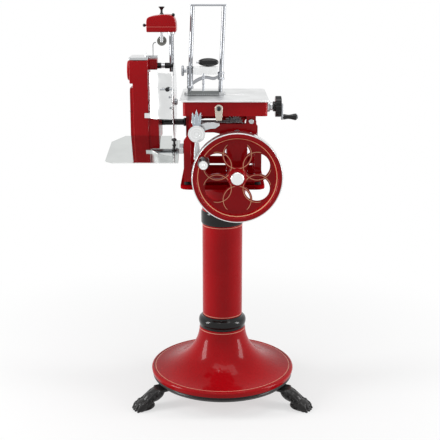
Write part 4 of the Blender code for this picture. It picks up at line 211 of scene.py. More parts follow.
def apply_all(piece: Piece) -> Piece:
    """Apply every modifier of a piece in order.

    Args:
        piece: the piece.

    Returns:
        The piece.
    """
    choose(piece)
    for modifier in list(piece.modifiers):
        bpy.ops.object.modifier_apply(modifier=modifier.name)
    return piece


def smooth(piece: Piece, angle: float = SMOOTH_ANGLE) -> Piece:
    """Shade a piece smooth except across edges sharper than an angle.

    Args:
        piece: the piece.
        angle: angle in radians above which an edge stays sharp.

    Returns:
        The piece.
    """
    choose(piece)
    bpy.ops.object.shade_smooth_by_angle(angle=angle)
    piece.modifiers.new("Even light", "WEIGHTED_NORMAL").keep_sharp = True
    return apply_all(piece)


def soften(piece: Piece, width: float, segments: int = 3) -> Piece:
    """Round the sharp edges of a piece.

    Args:
        piece: the piece.
        width: width of the rounded edges.
        segments: how many steps round an edge.

    Returns:
        The piece.
    """
    bevel = piece.modifiers.new("Rounded edges", "BEVEL")
    bevel.width = width
    bevel.segments = segments
    bevel.limit_method = "ANGLE"
    bevel.angle_limit = ROUND_ANGLE
    bevel.use_clamp_overlap = True
    return apply_all(piece)


def drawn_chain(name: str, points: Sequence[Triple], ring: bool = False) -> Piece:
    """Draw a chain of edges by extruding one corner from point to point.

    Args:
        name: name of the new object.
        points: places that the chain runs through.
        ring: whether an edge closes the chain.

    Returns:
        The new object, at the origin.
    """
    clear_choice()
    bpy.ops.mesh.primitive_plane_add(size=0.001, location=points[0])
    piece = added(name)
    with editing(piece):
        bpy.ops.mesh.merge(type="CENTER")
        for start, end in zip(points, points[1:]):
            step = Vector(end) - Vector(start)
            bpy.ops.mesh.extrude_vertices_move(TRANSFORM_OT_translate={"value": step})
        if ring:
            pick_corners(piece, (points[0], points[-1]))
            bpy.ops.mesh.edge_face_add()
    return piece


def eased(points: Profile, steps: int = 6) -> list[Pair]:
    """Run a smooth line through a few points.

    Args:
        points: places that the line passes.
        steps: how many parts each stretch gets.

    Returns:
        The points of the line, the given ones included.
    """
    line: list[Pair] = []
    last = len(points) - 1
    for i in range(last):
        before, start, end, after = (
            Vector(points[min(max(k, 0), last)]) for k in range(i - 1, i + 3)
        )
        for t in (k / steps for k in range(steps)):
            place = (
                start * 2
                + (end - before) * t
                + (before * 2 - start * 5 + end * 4 - after) * t**2
                + (start * 3 - before - end * 3 + after) * t**3
            ) / 2
            line.append((place.x, place.y))
    return line + [points[-1]]


def arc(centre: Pair, radii: Pair, start: float, end: float, steps: int) -> list[Pair]:
    """List points along an arc, both ends included.

    Args:
        centre: middle of the arc.
        radii: its reach to the side and upwards.
        start: angle in degrees where it starts.
        end: angle where it ends.
        steps: how many parts it has.

    Returns:
        The points in order.
    """
    angles = [math.radians(start + (end - start) * i / steps) for i in range(steps + 1)]
    (x, y), (wide, tall) = centre, radii
    return [(x + wide * math.cos(a), y + tall * math.sin(a)) for a in angles]


def turned(
    name: str, profile: Profile, place: Place, axis: Axis = Axis.UP, steps: int = 64,
    ring: bool = False,
) -> Piece:
    """Turn a drawn profile about an axis, as on a lathe.

    Args:
        name: name of the piece.
        profile: (radius, height) pairs from one end to the other.
        place: where the profile's zero height lies on the axis.
        axis: direction in which heights grow.
        steps: how many flats go round.
        ring: whether the profile closes on itself round a bore.

    Returns:
        The turned piece.
    """
    piece = drawn_chain(name, [(r, 0.0, z) for r, z in profile], ring)
    screw = piece.modifiers.new("Turn", "SCREW")
    screw.axis = "Z"
    screw.angle = 2 * math.pi
    screw.steps = screw.render_steps = steps
    screw.use_merge_vertices = True
    screw.merge_threshold = MERGE
    tidy_mesh(apply_all(piece))
    return smooth(move(piece, place, axis.value))


def plate(
    name: str, outline: Profile, thickness: float, place: Place, facing: Facing = Facing.TOP,
    edge: float = 0.0, segments: int = 3,
) -> Piece:
    """Fill a drawn outline and extrude it, centred on its place.

    Args:
        name: name of the piece.
        outline: corners of the outline in order.
        thickness: thickness of the plate.
        place: middle of the outline's plane.
        facing: plane that the outline stands in.
        edge: width of the rounded edges, or zero.
        segments: how many steps round an edge.

    Returns:
        The plate.
    """
    piece = drawn_chain(name, [(u, v, -thickness / 2) for u, v in outline])
    with editing(piece):
        bpy.ops.mesh.edge_face_add()
        bpy.ops.mesh.extrude_region_move(TRANSFORM_OT_translate={"value": (0, 0, thickness)})
        bpy.ops.mesh.select_all(action="SELECT")
        bpy.ops.mesh.normals_make_consistent(inside=False)
    move(piece, place, facing.value)
    if edge:
        soften(piece, edge, segments)
    return smooth(piece)


def block(name: str, low: Place, high: Place, edge: float, segments: int = 3) -> Piece:
    """Add a block between two corners and round its edges.

    Args:
        name: name of the piece.
        low: its lowest corner.
        high: its highest corner.
        edge: width of the rounded edges.
        segments: how many steps round an edge.

    Returns:
        The block.
    """
    low, high = Vector(low), Vector(high)
    clear_choice()
    bpy.ops.mesh.primitive_cube_add(size=1.0, location=(low + high) / 2, scale=high - low)
    return smooth(soften(added(name), edge, segments))


def blob(radii: Triple, place: Place, lean: float) -> Piece:
    """Add an egg shape, leaned about Y, that is melted into others.

    Args:
        radii: reach of the egg along each axis.
        place: its middle.
        lean: its turn in radians.

    Returns:
        The egg.
    """
    clear_choice()
    bpy.ops.mesh.primitive_uv_sphere_add(segments=32, ring_count=16, radius=1.0, scale=radii)
    return smooth(move(added("lump"), place, (0.0, lean, 0.0)))


def drill(radius: float, depth: float, place: Place, axis: Axis, sides: int) -> Piece:
    """Add a round cutter along an axis, about its middle.

    Args:
        radius: radius of the cutter.
        depth: its length.
        place: its middle.
        axis: direction that it points in.
        sides: how many flats go round.

    Returns:
        The cutter.
    """
    clear_choice()
    bpy.ops.mesh.primitive_cylinder_add(
        vertices=sides, radius=radius, depth=depth, location=place, rotation=axis.value
    )
    return added("cutter")


def tube(name: str, route: Sequence[Triple], radius: float, sides: int) -> Piece:
    """Run a round rod along a route of points, with closed ends.

    Args:
        name: name of the piece.
        route: points along the middle of the rod.
        radius: radius of the rod.
        sides: how many flats go round.

    Returns:
        The rod.
    """
    curve = bpy.data.curves.new(name, "CURVE")
    curve.dimensions = "3D"
    spline = curve.splines.new("POLY")
    spline.points.add(len(route) - 1)
    for point, place in zip(spline.points, route):
        point.co = (*place, 1.0)
    curve.bevel_depth = radius
    curve.bevel_resolution = sides // 4 - 1
    curve.use_fill_caps = True
    piece = bpy.data.objects.new(name, curve)
    bpy.context.scene.collection.objects.link(piece)
    choose(piece)
    bpy.ops.object.convert(target="MESH")
    return smooth(tidy_mesh(bpy.context.object))


def combine(piece: Piece, operation: str, tools: Sequence[Piece]) -> Piece:
    """Cut, join or cross a piece with tools, which are used up.

    Args:
        piece: the piece that stays.
        operation: DIFFERENCE, UNION or INTERSECT.
        tools: the solids used on it, in order.

    Returns:
        The piece.
    """
    for tool in tools:
        modifier = piece.modifiers.new(tool.name, "BOOLEAN")
        modifier.operation = operation
        modifier.solver = "EXACT"
        modifier.object = tool
        apply_all(piece)
        bpy.data.objects.remove(tool)
    return piece


def carve(piece: Piece, *tools: Piece) -> Piece:
    """Cut tools away from a piece."""
    return combine(piece, "DIFFERENCE", tools)


def weld(piece: Piece, *tools: Piece) -> Piece:
    """Join tools to a piece as one skin."""
    return combine(piece, "UNION", tools)


def gather(name: str, *pieces: Piece) -> Piece:
    """Put several closed shells into one object.

    Args:
        name: name of the object.
        pieces: the shells, the first one kept.

    Returns:
        The object.
    """
    choose(*pieces)
    bpy.ops.object.join()
    bpy.context.object.name = name
    return bpy.context.object


def twin(piece: Piece, name: str) -> Piece:
    """Copy a piece with a mesh of its own.

    Args:
        piece: the piece.
        name: name of the copy.

    Returns:
        The copy.
    """
    choose(piece)
    bpy.ops.object.duplicate(linked=False)
    bpy.context.object.name = name
    return bpy.context.object


@dataclass
class Seat:
    """Box of a CAD node, with what a piece that stands for it needs."""

    node: str

    def __post_init__(self) -> None:
        """Read the node's box."""
        self.low, self.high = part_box(self.node)
        self.middle = (self.low + self.high) / 2
        self.size = self.high - self.low

    def lathe(
        self, name: str, shares: Profile, axis: Axis = Axis.UP, steps: int = 64,
        ring: bool = False,
    ) -> Piece:
        """Turn a profile to the node's radius, length and place.

        Args:
            name: name of the piece.
            shares: (radius, height) pairs as shares of the node's radius and length.
            axis: direction in which heights grow.
            steps: how many flats go round.
            ring: whether the profile closes on itself round a bore.

        Returns:
            The turned piece.
        """
        along = {Axis.X: 0, Axis.LEFT: 0, Axis.BACK: 1, Axis.FRONT: 1, Axis.UP: 2}[axis]
        radius = self.size[0 if along == 2 else 2] / 2
        start = self.middle.copy()
        start[along] = (self.high if axis in (Axis.LEFT, Axis.FRONT) else self.low)[along]
        profile = [(r * radius, h * self.size[along]) for r, h in shares]
        return turned(name, profile, start, axis, steps, ring)

    def groove(
        self, wheel: Piece, count: int, start: float, radius: float, out: float, sides: int
    ) -> Piece:
        """Cut grooves all round the rim of a wheel that turns about X.

        Args:
            wheel: the wheel, turned to this node's box.
            count: how many grooves it gets.
            start: where the first lies, as a share of the step between two.
            radius: radius of a groove.
            out: how far a groove's middle lies outside the rim.
            sides: how many flats a groove's cutter has.

        Returns:
            The wheel.
        """
        reach = self.size.z / 2 + out
        x, y, z = self.middle
        angles = [2 * math.pi * (i + start) / count for i in range(count)]
        places = [(x, y + reach * math.cos(a), z + reach * math.sin(a)) for a in angles]
        cutters = [drill(radius, CUTTER_DEPTH, place, Axis.X, sides) for place in places]
        return carve(wheel, gather("grooves", *cutters))


# ------------------------------------------------------------------------- finishes


class Sheet:
    """Node tree of a finish or of the surround, filled step by step."""

    def __init__(self, owner: bpy.types.ID) -> None:
        """Start on the plain nodes of a material or a world.

        Args:
            owner: the material or world.
        """
        owner.use_nodes = True
        self.owner = owner
        self.tree = owner.node_tree
        self.shader = self.tree.nodes.get("Principled BSDF")

    def node(self, kind: str, **settings: object) -> bpy.types.Node:
        """Add a node and set its options by name.

        Args:
            kind: type of the node, without its prefix.
            settings: its options.

        Returns:
            The node.
        """
        node = self.tree.nodes.new("ShaderNode" + kind)
        for key, value in settings.items():
            setattr(node, key, value)
        return node

    def link(self, source: Socket, target: Socket) -> None:
        """Join an output to an input."""
        self.tree.links.new(source, target)

    def feed(self, target: Socket, value: object) -> None:
        """Give a socket a link or a plain value."""
        if isinstance(value, Socket):
            self.link(value, target)
        elif isinstance(value, tuple) and len(value) == 3 and target.type == "RGBA":
            target.default_value = (*value, 1.0)
        else:
            target.default_value = value

    def fill(self, node: bpy.types.Node, *values: object) -> Socket:
        """Feed a node's inputs in order and give its first output.

        Args:
            node: the node.
            values: an output or a plain value for each input.

        Returns:
            The node's first output.
        """
        for socket, value in zip(node.inputs, values):
            self.feed(socket, value)
        return node.outputs[0]

    def plain(self, **values: object) -> None:
        """Set constant sockets of the shader by their name."""
        for name, value in values.items():
            self.feed(self.shader.inputs[name.replace("_", " ")], value)

    def places(self, centre: Triple = ORIGIN, stretch: Triple = (1.0, 1.0, 1.0)) -> Socket:
        """Give the surface's own coordinates, centred and stretched.

        Args:
            centre: place that becomes the zero of the coordinates.
            stretch: factor along each axis.

        Returns:
            The coordinates.
        """
        coords = self.node("TexCoord")
        mapping = self.node("Mapping", vector_type="POINT")
        mapping.inputs["Location"].default_value = [-c * s for c, s in zip(centre, stretch)]
        mapping.inputs["Scale"].default_value = stretch
        self.link(coords.outputs["Object"], mapping.inputs["Vector"])
        return mapping.outputs["Vector"]

    def noise(self, vector: Socket, scale: float, detail: float, rough: float = 0.55) -> Socket:
        """Give a cloudy pattern between zero and one.

        Args:
            vector: coordinates of the pattern.
            scale: how fine it is.
            detail: how many finer layers it has.
            rough: how strong these are.

        Returns:
            The pattern.
        """
        noise = self.node("TexNoise")
        for name, value in (("Scale", scale), ("Detail", detail), ("Roughness", rough)):
            noise.inputs[name].default_value = value
        self.link(vector, noise.inputs["Vector"])
        return noise.outputs["Fac"]

    def maths(self, operation: str, *values: object) -> Socket:
        """Give the result of one sum."""
        return self.fill(self.node("Math", operation=operation), *values)

    def reach(self, first: object, second: object) -> Socket:
        """Give the length of a step that goes so far one way and so far across it."""
        squares = [self.maths("POWER", step, 2.0) for step in (first, second)]
        return self.maths("SQRT", self.maths("ADD", *squares))

    def spread(self, value: object, low: float, high: float, *ends: float) -> Socket:
        """Map a value from one range to another, held at its ends."""
        node = self.node("MapRange", interpolation_type="SMOOTHSTEP")
        return self.fill(node, value, low, high, *ends)

    def blend(self, share: object, first: object, second: object) -> Socket:
        """Mix two colours by a share.

        Args:
            share: how much of the second colour shows.
            first: first colour.
            second: second colour.

        Returns:
            The mixed colour.
        """
        node = self.node("Mix", data_type="RGBA")
        for index, value in ((0, share), (6, first), (7, second)):
            self.feed(node.inputs[index], value)
        return node.outputs[2]

    def shades(
        self, pattern: Socket, span: Pair, first: object, second: object, most: float = 1.0
    ) -> Socket:
        """Mix two colours as a pattern runs over a span, up to a greatest share."""
        return self.blend(self.spread(pattern, *span, 0.0, most), first, second)

    def skin(self, colour: Socket, pattern: Socket, span: Pair, rough: Pair) -> None:
        """Give the shader its colour, and a roughness that follows a pattern over a span."""
        self.link(colour, self.shader.inputs["Base Color"])
        self.link(self.spread(pattern, *span, *rough), self.shader.inputs["Roughness"])

    def bump(self, height: Socket, strength: float, distance: float) -> None:
        """Press a pattern into the surface.

        Args:
            height: the pattern.
            strength: how much of it shows.
            distance: height of its highest spots.
        """
        node = self.node("Bump")
        node.inputs["Strength"].default_value = strength
        node.inputs["Distance"].default_value = distance
        self.link(height, node.inputs["Height"])
        self.link(node.outputs["Normal"], self.shader.inputs["Normal"])

    def parts(self, vector: Socket) -> list[Socket]:
        """Split a vector into its three values.

        Args:
            vector: the vector.

        Returns:
            Its three values.
        """
        node = self.node("SeparateXYZ")
        self.link(vector, node.inputs[0])
        return list(node.outputs)

    def seen(self) -> Socket:
        """Tell rays from the camera, off a mirror or through glass from all others."""
        rays = self.node("LightPath").outputs
        direct = self.maths("MAXIMUM", rays["Is Camera Ray"], rays["Is Glossy Ray"])
        return self.maths("MAXIMUM", direct, rays["Is Transmission Ray"])


@dataclass(frozen=True)
class Finish:
    """A finish: its name, the slot it belongs to and its main values."""

    name: str
    slot: str
    colour: Triple
    roughness: float = 0.3

    def material(self) -> bpy.types.Material:
        """Give the finish's material, made once."""
        found = bpy.data.materials.get(self.name)
        if found is None:
            found = bpy.data.materials.new(self.name)
            self.make(Sheet(found))
        return found

    def make(self, sheet: Sheet) -> None:
        """Fill the material's nodes."""
        raise NotImplementedError

    def shade(self, share: float) -> Triple:
        """Give the finish's colour, darker or lighter by a share."""
        return tuple(min(c * share, 1.0) for c in self.colour)

    def rough(self, least: float, most: float) -> Pair:
        """Give the ends of the finish's roughness as shares of its main value."""
        return self.roughness * least, self.roughness * most


@dataclass(frozen=True)
class Enamel(Finish):
    """Stoved enamel: slow shade changes, fine orange peel and a thin clear coat."""

    peel: float = 0.00025
    coat: float = 0.16
    gleam: float = 0.05

    def make(self, sheet: Sheet) -> None:
        """Fill the material's nodes.

        Args:
            sheet: node tree of the material.
        """
        where = sheet.places()
        cloud = sheet.noise(where, 5.0, 4.0)
        base = sheet.shades(cloud, (0.3, 0.7), self.shade(0.9), self.shade(1.08))
        haze = sheet.noise(where, 16.0, 5.0)
        sheet.skin(self.painted(sheet, where, base), haze, (0.35, 0.7), self.rough(0.8, 1.3))
        sheet.plain(Coat_Weight=self.coat, Coat_Roughness=0.04, Specular_IOR_Level=self.gleam)
        sheet.bump(sheet.noise(where, 240.0, 2.0), 0.06, self.peel)

    def painted(self, sheet: Sheet, where: Socket, base: Socket) -> Socket:
        """Give the colour with its painted lines, none on the plain finish."""
        return base


@dataclass(frozen=True)
class BandedEnamel(Enamel):
    """Enamel with thin painted lines round an upright axis, at heights and at radii, some of them
    painted highlights.
    """

    centre: Pair = (0.0, 0.0)
    heights: tuple[float, ...] = ()
    radii: tuple[float, ...] = ()
    width: float = 0.0020
    line: Triple = (0.70, 0.32, 0.23)

    def painted(self, sheet: Sheet, where: Socket, base: Socket) -> Socket:
        """Give the colour with a line at every height and radius.

        Args:
            sheet: node tree of the material.
            where: the surface's own coordinates.
            base: colour of the enamel.

        Returns:
            The colour with its lines.
        """
        *flat, height = sheet.parts(where)
        steps = [sheet.maths("SUBTRACT", at, middle) for at, middle in zip(flat, self.centre)]
        colour = base
        for place, levels in ((height, self.heights), (sheet.reach(*steps), self.radii)):
            for level in levels:
                away = sheet.maths("ABSOLUTE", sheet.maths("SUBTRACT", place, level))
                mask = sheet.spread(away, self.width * 0.4, self.width * 0.6, 1.0, 0.0)
                colour = sheet.blend(mask, colour, self.line)
        return colour


@dataclass(frozen=True)
class WheelEnamel(Enamel):
    """Enamel of the flywheel's face with its ring line and the six petal outlines."""

    centre: Pair = (0.0, 0.0)
    front: float = 0.0
    ring_r: float = 0.1375
    petal_r: float = 0.049
    petal_place_r: float = 0.080
    petal_end_r: float = 0.1185
    petal_start_r: float = 0.034
    width: float = 0.0022
    line: Triple = (0.84, 0.44, 0.26)

    def painted(self, sheet: Sheet, where: Socket, base: Socket) -> Socket:
        """Give the colour with the ring and the petals, on the front only.

        Args:
            sheet: node tree of the material.
            where: the surface's own coordinates.
            base: colour of the enamel.

        Returns:
            The colour with its lines.
        """
        maths, width = sheet.maths, self.width
        x, y, z = sheet.parts(where)
        dx, dz = maths("SUBTRACT", x, self.centre[0]), maths("SUBTRACT", z, self.centre[1])
        reach = sheet.reach(dx, dz)
        heading = maths("ADD", maths("ARCTAN2", dz, dx), math.pi * 4.5)
        fold = maths("PINGPONG", heading, math.pi / 6)
        u, v = (maths("MULTIPLY", reach, maths(kind, fold)) for kind in ("COSINE", "SINE"))
        outline: object = 1.0
        for angle in (0.0, math.pi / 3):
            du = maths("SUBTRACT", u, self.petal_place_r * math.cos(angle))
            dv = maths("SUBTRACT", v, self.petal_place_r * math.sin(angle))
            away = maths("SUBTRACT", sheet.reach(du, dv), self.petal_r)
            outline = maths("MINIMUM", outline, maths("ABSOLUTE", away))
        petals = sheet.spread(outline, width * 0.35, width * 0.6, 1.0, 0.0)
        inside = sheet.spread(reach, self.petal_end_r, self.petal_end_r + width, 1.0, 0.0)
        outside = sheet.spread(reach, self.petal_start_r - width, self.petal_start_r, 0.0, 1.0)
        petals = maths("MULTIPLY", petals, maths("MULTIPLY", inside, outside))
        ring = maths("ABSOLUTE", maths("SUBTRACT", reach, self.ring_r))
        circle = sheet.spread(ring, width * 0.4, width * 0.65, 1.0, 0.0)
        on_face = sheet.spread(y, self.front, self.front + 0.001, 1.0, 0.0)
        lines = maths("MULTIPLY", maths("MAXIMUM", petals, circle), on_face)
        return sheet.blend(lines, base, self.line)


@dataclass(frozen=True)
class Polished(Finish):
    """Chrome or nickel plate: bright, with faint wiping marks."""

    streak: float = 40.0
    wave: float = 0.0004
    edge: float = 1.0

    def make(self, sheet: Sheet) -> None:
        """Fill the material's nodes.

        Args:
            sheet: node tree of the material.
        """
        where = sheet.places(stretch=(self.streak,) * 3)
        haze = sheet.noise(where, 1.0, 5.0, 0.6)
        tone = sheet.shades(haze, (0.3, 0.7), self.shade(0.93), self.colour)
        sheet.skin(tone, haze, (0.3, 0.75), self.rough(0.7, 1.5))
        sheet.plain(Metallic=1.0, Specular_Tint=(self.edge,) * 3)
        sheet.bump(sheet.noise(where, 9.0, 2.0), 0.03, self.wave)


@dataclass(frozen=True)
class Brushed(Finish):
    """Ground or brushed metal, with fine lines along one axis."""

    along: int = 0
    fine: float = 900.0

    def make(self, sheet: Sheet) -> None:
        """Fill the material's nodes.

        Args:
            sheet: node tree of the material.
        """
        stretch = [self.fine] * 3
        stretch[self.along] = self.fine / 40
        lines = sheet.noise(sheet.places(stretch=tuple(stretch)), 1.0, 3.0, 0.6)
        cloud = sheet.noise(sheet.places(), 14.0, 4.0)
        tone = sheet.shades(cloud, (0.3, 0.7), self.shade(0.88), self.shade(1.04))
        tone = sheet.shades(lines, (0.2, 0.8), tone, self.shade(0.72), 0.35)
        sheet.skin(tone, lines, (0.2, 0.8), self.rough(0.75, 1.25))
        sheet.plain(Metallic=1.0)
        sheet.bump(lines, 0.10, 0.0003)


@dataclass(frozen=True)
class Faced(Finish):
    """Metal faced on a lathe, with fine rings about an axis along X or Y."""

    centre: Triple = ORIGIN
    across: int = 0
    pitch: float = 0.0011

    def make(self, sheet: Sheet) -> None:
        """Fill the material's nodes.

        Args:
            sheet: node tree of the material.
        """
        parts = sheet.parts(sheet.places(self.centre))
        parts.pop(self.across)
        rings = sheet.maths("DIVIDE", sheet.reach(*parts), self.pitch)
        lines = sheet.noise(sheet.fill(sheet.node("CombineXYZ"), rings), 1.0, 3.0, 0.7)
        tone = sheet.shades(lines, (0.25, 0.75), self.shade(0.85), self.shade(1.05))
        sheet.skin(tone, lines, (0.2, 0.8), self.rough(0.7, 1.3))
        sheet.plain(Metallic=1.0)
        sheet.bump(lines, 0.12, 0.0003)


@dataclass(frozen=True)
class CastIron(Finish):
    """Black painted iron casting: sandy skin, with worn high spots."""

    grain: float = 260.0
    depth: float = 0.0012

    def make(self, sheet: Sheet) -> None:
        """Fill the material's nodes.

        Args:
            sheet: node tree of the material.
        """
        where = sheet.places()
        sand = sheet.noise(where, self.grain, 4.0, 0.65)
        wear = sheet.noise(where, 38.0, 6.0, 0.7)
        tone = sheet.shades(wear, (0.55, 0.75), self.colour, self.shade(3.2), 0.5)
        sheet.skin(tone, sand, (0.3, 0.7), self.rough(0.75, 1.3))
        sheet.plain(Coat_Weight=0.22, Coat_Roughness=0.18, Specular_IOR_Level=0.2)
        sheet.bump(sand, 0.35, self.depth)


@dataclass(frozen=True)
class Moulded(Finish):
    """Polished moulding or rubber: even colour with a soft bloom."""

    bloom: float = 1.6
    grain: float = 120.0
    coat: float = 0.2

    def make(self, sheet: Sheet) -> None:
        """Fill the material's nodes.

        Args:
            sheet: node tree of the material.
        """
        where = sheet.places()
        cloud = sheet.noise(where, 30.0, 4.0)
        fine = sheet.noise(where, self.grain, 3.0)
        tone = sheet.shades(cloud, (0.35, 0.7), self.colour, self.shade(self.bloom))
        sheet.skin(tone, fine, (0.3, 0.7), self.rough(0.8, 1.3))
        sheet.plain(Coat_Weight=self.coat, Coat_Roughness=0.06, Specular_IOR_Level=0.2)
        sheet.bump(fine, 0.08, 0.0005)


@dataclass(frozen=True)
class Stone(Finish):
    """Bonded grinding stone with coarse grit."""

    def make(self, sheet: Sheet) -> None:
        """Fill the material's nodes.

        Args:
            sheet: node tree of the material.
        """
        grit = sheet.noise(sheet.places(), 900.0, 4.0, 0.8)
        tone = sheet.shades(grit, (0.35, 0.65), self.shade(0.7), self.shade(1.3))
        sheet.link(tone, sheet.shader.inputs["Base Color"])
        sheet.plain(Roughness=self.roughness)
        sheet.bump(grit, 0.5, 0.0008)


RED_SLOT = "red_enamel"
CRIMSON = (0.35, 0.0022, 0.0052)
RED = Enamel("red_enamel_gloss", RED_SLOT, CRIMSON, 0.26)
SATIN_RED = Enamel("red_enamel_satin", RED_SLOT, CRIMSON, 0.6, coat=0.0, gleam=0.0)
BLACK_ENAMEL = Enamel(
    "black_enamel", "black_paint", (0.007, 0.007, 0.007), 0.18, coat=0.34, gleam=0.10
)
IRON = CastIron("black_cast_iron", "black_iron", (0.009, 0.008, 0.008), 0.34)
CHROME = Polished("polished_chrome", "chrome", (0.33, 0.34, 0.36), 0.10, 30.0, 0.00008, 0.0)
MIRROR = Polished("mirror_sheet", "chrome", (0.66, 0.68, 0.67), 0.05, 12.0)
# A lighter copy of the chrome: its brightness is a painted reflection of the bright surround.
LIT_CHROME = Polished("chrome_with_painted_reflection", "chrome", (0.84, 0.85, 0.85), 0.24)
NICKEL = Polished("polished_nickel", "chrome", (0.50, 0.51, 0.52), 0.14, 25.0)
WARM_METAL = Polished("warm_plated_steel", "aluminium", (0.55, 0.50, 0.43), 0.22, edge=0.6)
SHEET_METAL = Polished("polished_sheet", "aluminium", (0.74, 0.75, 0.75), 0.2, 18.0)
STEEL = Brushed("ground_steel", "steel", (0.44, 0.45, 0.46), 0.30)
ROD_STEEL = Brushed("ground_rod_steel", "steel", (0.50, 0.51, 0.52), 0.24, 1)
ALUMINIUM = Brushed("satin_aluminium", "aluminium", (0.74, 0.75, 0.75), 0.36)
CAST_ALUMINIUM = Brushed("polished_casting", "aluminium", (0.58, 0.59, 0.60), 0.24, 2, 500.0)
# The fins' blue-grey tint is a painted reflection on their polished steel.
FIN_STEEL = Brushed("fin_steel_with_painted_reflection", "aluminium", (0.44, 0.49, 0.54), 0.14, 2, 420.0)
TOOTH_STEEL = Brushed("dark_tooth_steel", "steel", (0.20, 0.21, 0.21), 0.22, 2, 600.0)
BAKELITE = Moulded("polished_black_moulding", "black_gloss", (0.007, 0.007, 0.008), 0.16)
RUBBER = Moulded("moulded_rubber", "rubber", (0.014, 0.014, 0.014), 0.7, 1.8, 300.0, 0.0)
GRIT = Stone("bonded_stone", "stone", (0.20, 0.20, 0.18), 0.9)


def fit(piece: Piece, body: Body, finish: Finish, *nodes: str) -> Piece:
    """Dress a piece, hang it on its body and let it stand for CAD nodes.

    Args:
        piece: the finished piece.
        body: the body that it moves with.
        finish: its finish.
        nodes: CAD nodes that it replaces.

    Returns:
        The piece.
    """
    if not piece.data.materials:
        piece.data.materials.append(finish.material())
    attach(piece, body.value)
    if nodes:
        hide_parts(*nodes)
    LOG.info("%s: %d faces on %s", piece.name, len(piece.data.polygons), body.value)
    return piece


def paint(piece: Piece, first: Finish, second: Finish, test: FaceTest) -> Piece:
    """Give a piece one finish, and another where its faces pass a test.

    Args:
        piece: the piece.
        first: the finish of all of it.
        second: the finish of some faces.
        test: says whether a face with this centre and normal takes the second.

    Returns:
        The piece.
    """
    if not piece.data.materials:
        piece.data.materials.append(first.material())
    piece.data.materials.append(second.material())
    with editing(piece):
        pick_faces(piece, test)
        piece.active_material_index = 1
        bpy.ops.object.material_slot_assign()
    return piece


# --------------------------------------------------------------------------- pieces


